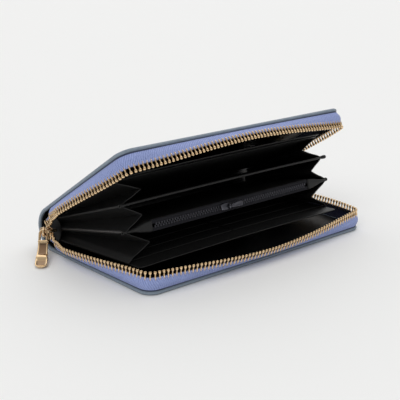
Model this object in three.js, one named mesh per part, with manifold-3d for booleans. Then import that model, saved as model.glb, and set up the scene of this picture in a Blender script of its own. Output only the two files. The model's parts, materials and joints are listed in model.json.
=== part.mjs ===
// Zip-around wallet, lying on its lower cover and opened part of the way.
//
// Millimetres, +Z up. The origin is the centre of the lower cover's underside, X runs along the
// spine and the mouth faces -Y. Both covers, the dividers and the panels turn on one line along X
// inside the spine. A piece that turns is first laid out in the closed wallet, relative to that
// line, and its group is then turned open.

import * as THREE from 'three';
import { mergeVertices } from 'three/addons/utils/BufferGeometryUtils.js';
import Module from 'manifold-3d';

const wasm = await Module();
wasm.setup();

// ---------------------------------------------------------------- driving dimensions

const LENGTH = 188.5; // along the spine
const FRONT = 52.5; // from the origin to the mouth edge of a cover
const BACK = 44; // from the origin to where a cover meets the spine
const CLOSED_THICKNESS = 25; // over both covers, closed
const HINGE_Y = BACK + 6.6; // line on which everything turns
const HINGE_Z = CLOSED_THICKNESS / 2;
const OPENING = 34.3; // degrees between the covers as it lies

const GAP = 0.3; // between neighbouring pieces
const CORNER_RADIUS = 9;
const COVER_EDGE = 2.4; // height of a cover's turned edge
const LEATHER = 1.0; // outer leather
const RIM = 1.7; // width of the turned edge
const BOARD = 0.7; // stiffener inside a cover
const LINING = 0.4;
const SPINE_LEATHER = 1.2;
const SPINE_LIFT = 0.3; // the spine clears the table by this

const TAPE = 0.8; // zip tape thickness
const TAPE_INSET = 1.0; // of the tape's middle from the cover's edge
const TAPE_WIDTH = 7.9; // visible width of one tape
const TAPE_END_WIDTH = 5.2; // the same where it narrows beside the spine
const TOOTH_PITCH = 2.8;
const TOOTH_HEIGHT = 4.0;
const TOOTH_RAIL = 1.3; // joined root of a row of teeth
const TOOTH_THICKNESS = 2.2;
const ZIP_END = BACK - 7; // how far back the open rows run
const LOWER_FLARE = { tape: 54, teeth: 29 }; // degrees out of upright where a tape leans most
const UPPER_FLARE = { tape: 50, teeth: 12 };

const BOARD_Z = LEATHER + GAP;
const LINING_Z = BOARD_Z + BOARD + GAP;
const TAPE_ROOT_Z = COVER_EDGE + GAP;

const SHEET = 0.8; // panels and divider
const SHEET_ROOT = 12; // where sheets start, from the turning line
const PANEL_MARGIN = 7.75; // from a cover's end to the panels and divider
const PANEL_HALF = LENGTH / 2 - PANEL_MARGIN;
const MOUTH = HINGE_Y + FRONT; // from the turning line to a cover's mouth edge
const CARD_LIFT = 1.7; // between the lower lining and the card panel
const SLIP_LIFT = 0.4; // between the slip panel and the upper lining
const INNER_HALF = HINGE_Z - LINING_Z - LINING; // half the height inside the closed wallet

// Each sheet's turn when the covers stand open by OPENING, its height in the closed wallet, and
// its reach from the turning line.
const CARD = { turn: 0.11953 * OPENING, rise: CARD_LIFT - INNER_HALF, reach: MOUTH - 17.1 };
const COIN = { turn: 0.38484 * OPENING, rise: -0.3, reach: MOUTH - 27.1 };
const DIVIDER = { turn: 0.59767 * OPENING, rise: 0.58163 * INNER_HALF, reach: MOUTH - 25.1 };
const SLIP = { turn: 0.86297 * OPENING, rise: INNER_HALF - SLIP_LIFT - SHEET, reach: MOUTH - 20.1 };

const TIERS = 3; // rows of card slots on each side
const TIER = 0.4;
const TIER_STEP = 11.5; // from one slot's edge to the next
const TIER_FIRST = 13; // from the card panel's edge to the first slot's edge
const CARD_MARGIN = 0.6; // from the middle of the card panel to a slot
const CARD_COLUMN = PANEL_HALF - CARD_MARGIN - 1.4; // width of one slot

const LEAF = 0.5; // gusset leather
const LEAF_ROOT = 16;
const LEAF_REACH = Math.min(DIVIDER.reach - 1.7, COIN.reach + GAP);
const FOLD = { lower: 15.5, middle: 12.8, upper: 16.5 }; // how far in each gusset folds
const FOLD_GAP = 1.0; // between the two leaves of a gusset at their fold

const COIN_WALL = 0.6;
const COIN_MOUTH = 3.7; // half the height of the coin pocket at its mouth
const COIN_EDGE = COIN_WALL + GAP / 2; // half its height at the side seams
const COIN_TAB = 18; // length of the leather tab at each end of its zip
const COIN_TAPE = 1.7; // visible width of one coin zip tape
const COIN_TEETH = 2.4; // height of both rows
const COIN_SLIT = 0.9; // between the two rows, where the slider's post runs
const COIN_BAND = 1.4; // thickness of the zip across the pocket's mouth
const COIN_SLIDER_X = -9.5;
const COIN_SLIDE = { half: 3.6, height: 2.2, plate: 0.9, pull: 11 };

const SLIDER = { length: 10.5, height: 8.4, plate: 1.1, gap: 3.0, x: -LENGTH / 2 - 0.35, y: BACK + 4 };
const BAIL = { wire: 0.6, height: 4.6, foot: 5.0 }; // foot: from the pull's swing back to the plate
const PULL = { length: 28.1, width: 7.4, thickness: 1.4, wire: 0.8, eye: 6.2 };
const PULL_HEADING = 231.6; // degrees from +X towards +Y, where the pull points
const PULL_RISE = 1.7; // of the pull's swing above the middle of the slider
const PULL_REST = 0.878; // height of the pull's middle where its tip lies on the table

// ---------------------------------------------------------------- helpers

const rad = THREE.MathUtils.degToRad;
const { lerp, clamp, smoothstep } = THREE.MathUtils;

const finishes = {
  leather: { color: 0x98a4ae, roughness: 0.5, metalness: 0 },
  board: { color: 0x6a5f52, roughness: 0.9, metalness: 0 },
  lining: { color: 0x0b0b0d, roughness: 0.35, metalness: 0 },
  black: { color: 0x141416, roughness: 0.42, metalness: 0 },
  tape: { color: 0x8d9cc8, roughness: 0.85, metalness: 0 },
  gold: { color: 0xd8b070, roughness: 0.22, metalness: 1 },
  blackTape: { color: 0x1e1e21, roughness: 0.8, metalness: 0 },
  blackMetal: { color: 0x18181a, roughness: 0.3, metalness: 0.8 },
};

// A closed position-only geometry with its shared vertices merged.
function closed(geometry) {
  const plain = geometry.index ? geometry.toNonIndexed() : geometry.clone();
  plain.deleteAttribute('normal');
  plain.deleteAttribute('uv');
  return mergeVertices(plain, 1e-4);
}

function toSolid(geometry) {
  const g = closed(geometry);
  return new wasm.Manifold(new wasm.Mesh({
    numProp: 3,
    vertProperties: new Float32Array(g.attributes.position.array),
    triVerts: new Uint32Array(g.index.array),
  }));
}

function fromSolid(solid) {
  const mesh = solid.getMesh();
  const g = new THREE.BufferGeometry();
  g.setAttribute('position', new THREE.BufferAttribute(mesh.vertProperties, 3));
  g.setIndex(new THREE.BufferAttribute(mesh.triVerts, 1));
  return g;
}

const joined = (...parts) => fromSolid(parts.map(toSolid).reduce((a, b) => a.add(b)));
const cut = (body, ...tools) =>
  fromSolid(tools.map(toSolid).reduce((a, b) => a.subtract(b), toSolid(body)));

function piece(name, geometry, finish, parent) {
  const g = geometry.index ? geometry.toNonIndexed() : geometry;
  g.computeVertexNormals();
  const mesh = new THREE.Mesh(g, new THREE.MeshStandardMaterial(finishes[finish]));
  mesh.name = name;
  parent.add(mesh);
  return mesh;
}

// The same surface with its faces turned outwards.
function facingOut(geometry) {
  const p = geometry.attributes.position;
  const index = geometry.index.array;
  const [a, b, c] = [0, 1, 2].map(() => new THREE.Vector3());
  let volume = 0;
  for (let i = 0; i < index.length; i += 3) {
    a.fromBufferAttribute(p, index[i]);
    b.fromBufferAttribute(p, index[i + 1]);
    c.fromBufferAttribute(p, index[i + 2]);
    volume += a.dot(b.cross(c));
  }
  return volume < 0 ? geometry.setIndex([...index].reverse()) : geometry;
}

// A box of (nu, nv, 1) cells whose corners (u, v, w), each from 0 to 1, are placed by a function.
function warped(nu, nv, place) {
  const box = new THREE.BoxGeometry(1, 1, 1, nu, nv, 1);
  const p = box.attributes.position;
  for (let i = 0; i < p.count; i++) {
    const at = place(p.getX(i) + 0.5, p.getY(i) + 0.5, p.getZ(i) + 0.5);
    p.setXYZ(i, at.x, at.y, at.z);
  }
  return facingOut(closed(box));
}

const block = (x0, x1, y0, y1, z0, z1) =>
  new THREE.BoxGeometry(x1 - x0, y1 - y0, z1 - z0)
    .translate((x0 + x1) / 2, (y0 + y1) / 2, (z0 + z1) / 2);

// ---------------------------------------------------------------- covers

// Outline of a cover drawn in by inset on its three free sides and ending at y = back.
function coverOutline(inset, back) {
  const x = LENGTH / 2 - inset;
  const y = FRONT - inset;
  const r = Math.max(CORNER_RADIUS - inset, 1);
  const shape = new THREE.Shape();
  shape.moveTo(x, back);
  shape.lineTo(-x, back);
  shape.lineTo(-x, r - y);
  shape.absarc(r - x, r - y, r, Math.PI, 1.5 * Math.PI);
  shape.absarc(x - r, r - y, r, 1.5 * Math.PI, 2 * Math.PI);
  shape.closePath();
  return shape;
}

const slab = (shape, z0, z1) =>
  new THREE.ExtrudeGeometry(shape, { depth: z1 - z0, bevelEnabled: false, curveSegments: 6 })
    .translate(0, 0, z0);

// Outer leather: a plate with its edge turned up and in on three sides.
function coverLeather() {
  const soft = 0.6;
  const outer = new THREE.ExtrudeGeometry(coverOutline(soft, BACK - soft), {
    depth: COVER_EDGE - 2 * soft, curveSegments: 6,
    bevelThickness: soft, bevelSize: soft, bevelSegments: 2,
  }).translate(0, 0, soft);
  return cut(outer, slab(coverOutline(RIM, BACK + 1), LEATHER, COVER_EDGE + 1));
}

const coverBoard = () => slab(coverOutline(RIM + GAP, BACK), BOARD_Z, BOARD_Z + BOARD);
const coverLining = () => slab(coverOutline(RIM + GAP, BACK), LINING_Z, LINING_Z + LINING);

// The spine is the arc that runs smoothly out of one cover and into the other.
function spineArc() {
  const y = HINGE_Y - BACK - GAP;
  const z = HINGE_Z - SPINE_LIFT;
  const radius = Math.hypot(y, z) * Math.cos(rad(OPENING / 2) - Math.atan2(y, z))
    / Math.cos(rad(OPENING / 2));
  return { y: BACK + GAP, z: SPINE_LIFT + radius, radius };
}

// A strip of the spine between two radii, along the whole wallet.
function spineStrip(outer, thickness, half) {
  const arc = spineArc();
  const turn = rad(180 - OPENING);
  return warped(1, 14, (u, v, w) => {
    const a = turn * v - Math.PI / 2;
    const r = arc.radius - outer - thickness * (1 - w);
    return new THREE.Vector3(lerp(-half, half, u), arc.y + r * Math.cos(a), arc.z + r * Math.sin(a));
  });
}

// ---------------------------------------------------------------- zip

// The line that the tape stands on: up one side, round the mouth, down the other.
const RAIL_X = LENGTH / 2 - TAPE_INSET;
const RAIL_Y = FRONT - TAPE_INSET;
const RAIL_R = CORNER_RADIUS - TAPE_INSET;
const SIDE_RUN = ZIP_END + RAIL_Y - RAIL_R;
const CORNER_RUN = RAIL_R * Math.PI / 2;
const MOUTH_RUN = 2 * (RAIL_X - RAIL_R);
const RAIL_RUN = 2 * SIDE_RUN + 2 * CORNER_RUN + MOUTH_RUN;

// Place, outward direction and lean (0 upright, 1 most flared) at a run along the line.
function rail(run) {
  const mirrored = run > RAIL_RUN / 2;
  const s = mirrored ? RAIL_RUN - run : run;
  let x, y, heading, lean;
  const width = lerp(TAPE_END_WIDTH, TAPE_WIDTH, smoothstep(s, 0, 16));
  if (s < SIDE_RUN) {
    const along = s / SIDE_RUN;
    x = -RAIL_X;
    y = ZIP_END - s;
    heading = Math.PI;
    lean = (1 - Math.pow(along, 1.8)) * lerp(0.55, 1, smoothstep(along, 0, 0.22));
  } else if (s < SIDE_RUN + CORNER_RUN) {
    heading = Math.PI + (s - SIDE_RUN) / RAIL_R;
    x = RAIL_R - RAIL_X + RAIL_R * Math.cos(heading);
    y = RAIL_R - RAIL_Y + RAIL_R * Math.sin(heading);
    lean = 0;
  } else {
    x = RAIL_R - RAIL_X + s - SIDE_RUN - CORNER_RUN;
    y = -RAIL_Y;
    heading = 1.5 * Math.PI;
    lean = 1 - Math.pow(Math.abs(x) / (RAIL_X - RAIL_R), 1.8);
  }
  const side = mirrored ? -1 : 1;
  return { x: side * x, y, nx: side * Math.cos(heading), ny: Math.sin(heading), lean, width };
}

// A point at a run along the line, at a height up the tape and teeth, and off their middle.
function zipPoint(run, height, off, flare) {
  const at = rail(clamp(run, 0, RAIL_RUN));
  const tapeLean = rad(flare.tape * at.lean);
  const toothLean = rad(flare.teeth * at.lean);
  const onTooth = Math.max(height - TAPE_WIDTH, 0);
  const onTape = Math.min(height, TAPE_WIDTH) * at.width / TAPE_WIDTH;
  const lean = height > TAPE_WIDTH ? toothLean : tapeLean;
  const out = onTape * Math.sin(tapeLean) + onTooth * Math.sin(toothLean) + off * Math.cos(lean);
  const up = onTape * Math.cos(tapeLean) + onTooth * Math.cos(toothLean) - off * Math.sin(lean);
  return new THREE.Vector3(at.x + at.nx * out, at.y + at.ny * out, TAPE_ROOT_Z + up);
}

// Runs along the line, closer together beside the spine and round the corners.
function stations(count) {
  const corner = [SIDE_RUN, SIDE_RUN + CORNER_RUN];
  const runs = [];
  for (let i = 0; i <= count; i++) runs.push(SIDE_RUN * Math.pow(i / count, 1.7));
  for (let i = 1; i <= 5; i++) runs.push(lerp(corner[0], corner[1], i / 5));
  for (let i = 1; i <= count; i++) runs.push(lerp(corner[1], RAIL_RUN / 2, i / count));
  const back = runs.slice(0, -1).reverse().map((s) => RAIL_RUN - s);
  return runs.concat(back);
}

function zipTape(flare) {
  const runs = stations(9);
  const last = runs.length - 1;
  const root = TAPE / 2 * Math.sin(rad(flare.tape)) + 0.05; // keeps the leaning foot off the cover
  return warped(last, 3, (u, v, w) => {
    const height = lerp(root, TAPE_WIDTH - 1.5 * GAP, v);
    return zipPoint(runs[Math.round(u * last)], height, (w - 0.5) * TAPE, flare);
  });
}

function zipTeeth(flare) {
  const teeth = Math.floor(RAIL_RUN / TOOTH_PITCH);
  const start = (RAIL_RUN - teeth * TOOTH_PITCH) / 2;
  const steps = 2 * teeth;
  return warped(steps, 1, (u, v, w) => {
    const step = Math.round(u * steps);
    const top = step % 2 ? TOOTH_HEIGHT : TOOTH_RAIL;
    const run = start + step * TOOTH_PITCH / 2;
    return zipPoint(run, TAPE_WIDTH + v * top, (w - 0.5) * TOOTH_THICKNESS, flare);
  });
}

// ---------------------------------------------------------------- sheets

// A flat sheet in the closed frame of the turning line: from one reach to another towards the
// mouth, between two sides, with its underside at height z.
const sheet = (from, to, x0, x1, z, thickness) => block(x0, x1, -to, -from, z, z + thickness);

function turned(sheetPlan, wallet) {
  const group = new THREE.Group();
  group.position.set(0, HINGE_Y, HINGE_Z);
  group.rotation.x = -rad(sheetPlan.turn);
  wallet.add(group);
  return group;
}

// ---------------------------------------------------------------- coin pocket

// Half the height of the coin pocket outside: flat at the side seams, full along the zip.
function coinHalf(x, reach) {
  const across = smoothstep(PANEL_HALF - Math.abs(x), 0, COIN_TAB);
  const along = clamp((reach - SHEET_ROOT) / (COIN.reach - SHEET_ROOT), 0, 1);
  return lerp(COIN_EDGE, COIN_MOUTH, across * along);
}

function coinWall(side) {
  const front = COIN.reach - COIN_BAND / 2 - GAP;
  const columns = [-1, -0.92, -0.84, -0.79, 0.79, 0.84, 0.92, 1].map((k) => k * PANEL_HALF);
  const last = columns.length - 1;
  return warped(last, 4, (u, v, w) => {
    const x = columns[Math.round(u * last)];
    const reach = lerp(front, SHEET_ROOT, v);
    const half = coinHalf(x, reach) - COIN_WALL * w;
    return new THREE.Vector3(x, -reach, COIN.rise + side * half);
  });
}

const COIN_ZIP_HALF = PANEL_HALF - COIN_TAB - 0.5;

// One strip of the coin zip's band, across the mouth of the pocket between two heights.
const coinBand = (z0, z1, thickness, half) => block(
  -half, half, -COIN.reach - thickness / 2, -COIN.reach + thickness / 2,
  COIN.rise + Math.min(z0, z1), COIN.rise + Math.max(z0, z1));

// The tapering leather tab that closes the mouth beside the zip.
function coinTab(side) {
  return warped(4, 1, (u, v, w) => {
    const x = side * lerp(COIN_ZIP_HALF + GAP, PANEL_HALF, side > 0 ? u : 1 - u);
    const half = coinHalf(x, COIN.reach) - GAP;
    const y = -COIN.reach + COIN_BAND * (v - 0.5);
    return new THREE.Vector3(x, y, COIN.rise + lerp(-half, half, w));
  });
}

// ---------------------------------------------------------------- gussets

// Height of the fold of a gusset above its own sheet, and the tilt that puts it there.
function foldPlan(low, high, depth) {
  const between = rad(high.turn - low.turn);
  const meet = (low.leaf - high.leaf / Math.cos(between)) / Math.tan(between);
  const height = (reach) => (reach - meet) * Math.tan(between / 2);
  return { height, tilt: Math.atan2(height(LEAF_REACH), depth) };
}

// A leaf of gusset leather: hinged on the side edge of its sheet and folded in over it.
function gussetLeaf(plan, up, side) {
  const width = (reach) => (plan.height(reach) - FOLD_GAP / 2) / Math.sin(plan.tilt);
  return warped(1, 2, (u, v, w) => {
    const reach = lerp(LEAF_REACH, LEAF_ROOT, v);
    const across = (side > 0 ? 1 - u : u) * width(reach);
    const off = (w - 0.5) * LEAF;
    const x = across * Math.cos(plan.tilt) + up * off * Math.sin(plan.tilt);
    const z = across * Math.sin(plan.tilt) * up + off * Math.cos(plan.tilt);
    return new THREE.Vector3(side * (PANEL_HALF - x), -reach, z);
  });
}

// ---------------------------------------------------------------- sliders and pulls

// A cord of round section along a curve.
const rod = (curve, radius, steps, sides = 8) => {
  const ring = new THREE.Shape();
  ring.absarc(0, 0, radius, 0, 2 * Math.PI);
  return new THREE.ExtrudeGeometry(ring, { steps, extrudePath: curve, curveSegments: sides });
};

// Outline of a slider's plate: wide where the rows part, narrow at the tail.
function sliderPlate(thickness) {
  const { length, height } = SLIDER;
  const shape = new THREE.Shape();
  shape.moveTo(length / 2, height * 0.3);
  shape.lineTo(length / 2, -height * 0.3);
  shape.lineTo(0, -height / 2);
  shape.quadraticCurveTo(-length / 2, -height / 2, -length / 2, 0);
  shape.quadraticCurveTo(-length / 2, height / 2, 0, height / 2);
  shape.closePath();
  return new THREE.ExtrudeGeometry(shape, { depth: thickness, bevelEnabled: false, curveSegments: 5 });
}

// Main slider, its plates upright and facing out of the wallet's end, nose towards the mouth.
function zipSlider() {
  const upright = new THREE.Matrix4().makeBasis(
    new THREE.Vector3(0, 1, 0), new THREE.Vector3(0, 0, 1), new THREE.Vector3(1, 0, 0));
  const plate = (x) => sliderPlate(SLIDER.plate).applyMatrix4(upright).translate(x, 0, 0);
  const halfGap = SLIDER.gap / 2;
  const post = block(-halfGap - 0.3, halfGap + 0.3, -3.6, 0.6, -1.3, 1.3);
  const body = joined(plate(halfGap), plate(-halfGap - SLIDER.plate), post)
    .translate(SLIDER.x, SLIDER.y, HINGE_Z);
  return joined(body, sliderBail());
}

// The pull swings on the middle of its end wire, which passes through the slider's bail.
const pullHeading = new THREE.Vector3(Math.cos(rad(PULL_HEADING)), Math.sin(rad(PULL_HEADING)), 0);
const bailFoot = new THREE.Vector3(
  SLIDER.x - SLIDER.gap / 2 - SLIDER.plate * 0.6, SLIDER.y - 0.7, HINGE_Z + PULL_RISE);
const pullPivot = bailFoot.clone().addScaledVector(pullHeading, BAIL.foot);

// The bail: a loop that stands out of the slider's outer plate, in line with the pull.
function sliderBail() {
  const reach = BAIL.foot + PULL.wire + GAP + BAIL.wire;
  const points = [];
  for (let i = 0; i <= 12; i++) {
    const a = Math.PI * i / 12;
    const out = reach * Math.sign(Math.sin(a)) * Math.pow(Math.abs(Math.sin(a)), 0.6);
    const up = new THREE.Vector3(0, 0, BAIL.height / 2 * Math.cos(a));
    points.push(up.add(bailFoot).addScaledVector(pullHeading, Math.max(out, 0)));
  }
  return rod(new THREE.CatmullRomCurve3(points), BAIL.wire, 16, 3);
}

// The pull in its own frame: +X towards its tip, its swing on Y.
function zipPull() {
  const { length, width, thickness, wire, eye } = PULL;
  const half = width / 2;
  const outline = new THREE.Shape();
  outline.moveTo(eye, half * 0.82);
  outline.lineTo(eye, -half * 0.82);
  outline.lineTo(length - half, -half);
  outline.absarc(length - half, 0, half, -Math.PI / 2, Math.PI / 2);
  outline.closePath();
  const strap = new THREE.ExtrudeGeometry(outline, {
    depth: thickness, bevelEnabled: false, curveSegments: 8,
  }).translate(0, 0, -thickness / 2);
  const reach = half * 0.82 - wire;
  const bow = new THREE.CatmullRomCurve3([
    new THREE.Vector3(eye + 0.6, reach, 0), new THREE.Vector3(1.4, reach, 0),
    new THREE.Vector3(0, reach * 0.55, 0), new THREE.Vector3(0, -reach * 0.55, 0),
    new THREE.Vector3(1.4, -reach, 0), new THREE.Vector3(eye + 0.6, -reach, 0),
  ]);
  return joined(strap, rod(bow, wire, 16, 4));
}

// A pin along Z.
const pin = (x, y, z0, z1, radius) => new THREE.CylinderGeometry(radius, radius, z1 - z0, 12)
  .rotateX(Math.PI / 2).translate(x, y, (z0 + z1) / 2);

// Coin zip slider: a plate before and behind the rows, a thin post in the slit between them, and
// two lugs in front with a pin that carries the pull.
const COIN_PIN = { x: COIN_SLIDER_X + 2.4, y: -COIN.reach - 3.4, radius: 0.4 };

function coinSlider() {
  const { height, half, plate } = COIN_SLIDE;
  const x = COIN_SLIDER_X;
  const front = -COIN.reach - COIN_BAND / 2 - 2 * GAP;
  const rear = -COIN.reach + COIN_BAND / 2 + GAP;
  const post = COIN_SLIT / 2 - GAP;
  const plates = [
    block(x - half, x + half, front - plate, front, -height, height),
    block(x - half, x + half, rear, rear + plate, -height, height),
    block(x - 1.6, x + 1.6, front - 0.5, rear + 0.5, -post, post),
  ];
  const lugs = [-1.3, 1.3].map((z) => block(
    COIN_PIN.x - 0.8, COIN_PIN.x + 0.8, COIN_PIN.y - 0.8, front - 0.4, z - 0.3, z + 0.3));
  const axle = pin(COIN_PIN.x, COIN_PIN.y, -1.3, 1.3, COIN_PIN.radius);
  return joined(...plates, ...lugs, axle).translate(0, 0, COIN.rise);
}

// Coin pull: an eye on the slider's pin and a flat strap that lies along the zip.
function coinPull() {
  const { x, y, radius } = COIN_PIN;
  const eye = pin(x, y, -0.65, 0.65, radius + 0.65);
  const neck = block(x + 0.7, x + 2.4, y - 0.5, y + 0.5, -0.65, 0.65);
  const strap = block(x + 1.8, x + COIN_SLIDE.pull, y - 0.5, y + 0.5, -1.9, 1.9);
  return cut(joined(eye, neck, strap), pin(x, y, -2, 2, radius + GAP)).translate(0, 0, COIN.rise);
}

// ---------------------------------------------------------------- the wallet

const wallet = new THREE.Group();
wallet.name = 'zip_around_wallet';

// Lower cover, with the spine that both covers share.
const base = new THREE.Group();
wallet.add(base);
piece('lower_cover_leather', coverLeather(), 'leather', base);
piece('lower_cover_board', coverBoard(), 'board', base);
piece('lower_cover_lining', coverLining(), 'lining', base);
piece('spine_leather', spineStrip(0, SPINE_LEATHER, LENGTH / 2 - 0.5), 'leather', base);
piece('spine_lining', spineStrip(SPINE_LEATHER + GAP, LINING, LENGTH / 2 - 3), 'lining', base);
piece('lower_zip_tape', zipTape(LOWER_FLARE), 'tape', base);
piece('lower_zip_teeth', zipTeeth(LOWER_FLARE), 'gold', base);

// Upper cover: the lower one turned over, then opened about the spine.
const cover = turned({ turn: OPENING }, wallet);
const overturned = new THREE.Matrix4().makeTranslation(0, -HINGE_Y, CLOSED_THICKNESS - HINGE_Z)
  .multiply(new THREE.Matrix4().makeScale(1, 1, -1));
function upperPiece(name, geometry, finish) {
  const flipped = fromSolid(toSolid(geometry).transform(overturned.toArray()));
  return piece(name, flipped, finish, cover);
}
upperPiece('upper_cover_leather', coverLeather(), 'leather');
upperPiece('upper_cover_board', coverBoard(), 'board');
upperPiece('upper_cover_lining', coverLining(), 'lining');
upperPiece('upper_zip_tape', zipTape(UPPER_FLARE), 'tape');
upperPiece('upper_zip_teeth', zipTeeth(UPPER_FLARE), 'gold');

// Card panel: one sheet with two columns of stepped slots on it.
const card = turned(CARD, wallet);
const panel = (root, reach, z, thickness) => sheet(root, reach, -PANEL_HALF, PANEL_HALF, z, thickness);
piece('card_panel', panel(SHEET_ROOT, CARD.reach, CARD.rise, SHEET), 'black', card);
const tierZ = (tier) => CARD.rise + SHEET + GAP / 2 + tier * (TIER + GAP / 2);
for (let tier = 0; tier < TIERS; tier++) {
  const reach = CARD.reach - TIER_FIRST - tier * TIER_STEP;
  for (const [side, x0] of [['left', -CARD_COLUMN - CARD_MARGIN], ['right', CARD_MARGIN]]) {
    const slot = sheet(LEAF_ROOT, reach, x0, x0 + CARD_COLUMN, tierZ(tier), TIER);
    piece(`card_slot_${side}_${tier + 1}`, slot, 'black', card);
  }
}

// Slip panel under the upper cover, with a second layer that makes its pocket.
const slip = turned(SLIP, wallet);
const slipPocketZ = SLIP.rise - GAP - TIER;
piece('slip_panel', panel(SHEET_ROOT, SLIP.reach, SLIP.rise, SHEET), 'black', slip);
piece('slip_pocket', panel(LEAF_ROOT, SLIP.reach - 3, slipPocketZ, TIER), 'black', slip);

// Divider with a rolled binding whose ends stand out past the gussets.
const divider = turned(DIVIDER, wallet);
const dividerEnd = DIVIDER.reach - 1.3 - GAP;
const binding = sheet(
  DIVIDER.reach - 1.3, DIVIDER.reach + 0.4, -PANEL_HALF - 2.2, PANEL_HALF + 2.2, DIVIDER.rise - 0.8, 1.6);
piece('divider_sheet', panel(SHEET_ROOT, dividerEnd, DIVIDER.rise - SHEET / 2, SHEET), 'black', divider);
piece('divider_binding', binding, 'black', divider);

// Coin pocket: two walls, a zip across its mouth and a folded tab at each end.
const coin = turned(COIN, wallet);
piece('coin_pocket_upper_wall', coinWall(1), 'black', coin);
piece('coin_pocket_lower_wall', coinWall(-1), 'black', coin);
for (const [name, side] of [['upper', 1], ['lower', -1]]) {
  const slit = side * COIN_SLIT / 2;
  const root = side * COIN_TEETH / 2;
  const tape = root + side * GAP / 2;
  const teeth = coinBand(slit, root, COIN_BAND, COIN_ZIP_HALF);
  const strip = coinBand(tape, tape + side * COIN_TAPE, COIN_BAND / 2, COIN_ZIP_HALF);
  piece(`coin_zip_teeth_${name}`, teeth, 'blackMetal', coin);
  piece(`coin_zip_tape_${name}`, strip, 'blackTape', coin);
}
piece('coin_zip_tab_left', coinTab(-1), 'black', coin);
piece('coin_zip_tab_right', coinTab(1), 'black', coin);
piece('coin_zip_slider', coinSlider(), 'blackMetal', coin);
piece('coin_zip_pull', coinPull(), 'blackMetal', coin);

// Gussets: at each end, two leaves fold in between every two neighbouring sheets.
const clear = LEAF / 2 + GAP;
const tierTop = tierZ(TIERS - 1) + TIER;
const edges = {
  cardTop: { turn: CARD.turn, leaf: tierTop + clear, group: card },
  coinBottom: { turn: COIN.turn, leaf: COIN.rise - COIN_EDGE - clear, group: coin },
  coinTop: { turn: COIN.turn, leaf: COIN.rise + COIN_EDGE + clear, group: coin },
  dividerBottom: { turn: DIVIDER.turn, leaf: DIVIDER.rise - SHEET / 2 - clear, group: divider },
  dividerTop: { turn: DIVIDER.turn, leaf: DIVIDER.rise + SHEET / 2 + clear, group: divider },
  slipBottom: { turn: SLIP.turn, leaf: slipPocketZ - clear, group: slip },
};
const gussets = [
  ['lower', edges.cardTop, edges.coinBottom],
  ['middle', edges.coinTop, edges.dividerBottom],
  ['upper', edges.dividerTop, edges.slipBottom],
];
for (const [name, low, high] of gussets) {
  const plan = foldPlan(low, high, FOLD[name]);
  for (const [end, side] of [['left', -1], ['right', 1]]) {
    piece(`gusset_${name}_${end}_bottom`, gussetLeaf(plan, 1, side), 'black', low.group)
      .position.z = low.leaf;
    piece(`gusset_${name}_${end}_top`, gussetLeaf(plan, -1, side), 'black', high.group)
      .position.z = high.leaf;
  }
}

// Main zip slider at the spine end of the left side, and its pull.
piece('zip_slider', zipSlider(), 'gold', base);
const pull = piece('zip_pull', zipPull(), 'gold', base);
pull.position.copy(pullPivot);
pull.rotation.order = 'ZYX';
pull.rotation.z = rad(PULL_HEADING);
pull.rotation.y = Math.asin((pullPivot.z - PULL_REST) / PULL.length);

export default wallet;
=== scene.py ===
"""Looks of a zip-around wallet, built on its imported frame.

Lengths are millimetres until a mesh is made. Every sheet of the wallet turns about one line along
X inside the spine. A place on a sheet is (x, reach, rise): along the spine, out from that line
towards the mouth, and up from it, all measured in the closed wallet and then turned open.
"""

import json
import logging
import math
from dataclasses import dataclass, field
from enum import Enum
from typing import Callable, Dict, List, Optional, Sequence, Tuple

import bpy
import numpy as np
from mathutils import Matrix, Vector

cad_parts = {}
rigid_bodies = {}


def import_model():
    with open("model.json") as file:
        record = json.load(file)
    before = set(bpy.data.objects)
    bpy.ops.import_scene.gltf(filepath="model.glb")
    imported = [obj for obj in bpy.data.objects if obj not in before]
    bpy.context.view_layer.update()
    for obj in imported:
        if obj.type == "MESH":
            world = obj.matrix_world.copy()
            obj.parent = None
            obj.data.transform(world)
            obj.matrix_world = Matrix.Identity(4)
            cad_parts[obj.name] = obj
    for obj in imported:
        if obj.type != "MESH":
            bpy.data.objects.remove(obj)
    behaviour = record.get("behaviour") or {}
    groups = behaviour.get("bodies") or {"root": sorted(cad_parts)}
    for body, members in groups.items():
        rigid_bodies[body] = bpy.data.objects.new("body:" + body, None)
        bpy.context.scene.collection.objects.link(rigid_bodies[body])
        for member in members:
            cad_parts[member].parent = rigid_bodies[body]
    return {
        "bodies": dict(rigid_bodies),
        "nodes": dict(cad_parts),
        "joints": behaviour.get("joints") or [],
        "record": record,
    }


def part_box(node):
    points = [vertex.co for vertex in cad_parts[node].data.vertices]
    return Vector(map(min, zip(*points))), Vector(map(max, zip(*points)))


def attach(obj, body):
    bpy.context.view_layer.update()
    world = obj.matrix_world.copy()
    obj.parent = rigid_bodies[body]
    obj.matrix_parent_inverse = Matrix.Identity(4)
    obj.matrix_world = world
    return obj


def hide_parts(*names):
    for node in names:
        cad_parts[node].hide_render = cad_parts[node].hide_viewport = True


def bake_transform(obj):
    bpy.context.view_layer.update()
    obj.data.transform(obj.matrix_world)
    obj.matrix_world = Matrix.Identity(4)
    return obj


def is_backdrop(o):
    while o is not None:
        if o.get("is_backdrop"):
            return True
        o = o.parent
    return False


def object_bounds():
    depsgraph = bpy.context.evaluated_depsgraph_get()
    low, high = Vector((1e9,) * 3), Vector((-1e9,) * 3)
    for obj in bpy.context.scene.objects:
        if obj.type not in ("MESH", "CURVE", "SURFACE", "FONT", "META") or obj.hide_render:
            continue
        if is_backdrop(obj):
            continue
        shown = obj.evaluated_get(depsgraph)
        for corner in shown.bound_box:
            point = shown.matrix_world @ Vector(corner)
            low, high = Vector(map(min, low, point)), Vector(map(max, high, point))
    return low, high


LOG = logging.getLogger("wallet")
MM = 0.001
Array = np.ndarray
Colour = Tuple[float, float, float]
Place = Callable[[Array, Array, Array], Array]


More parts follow.
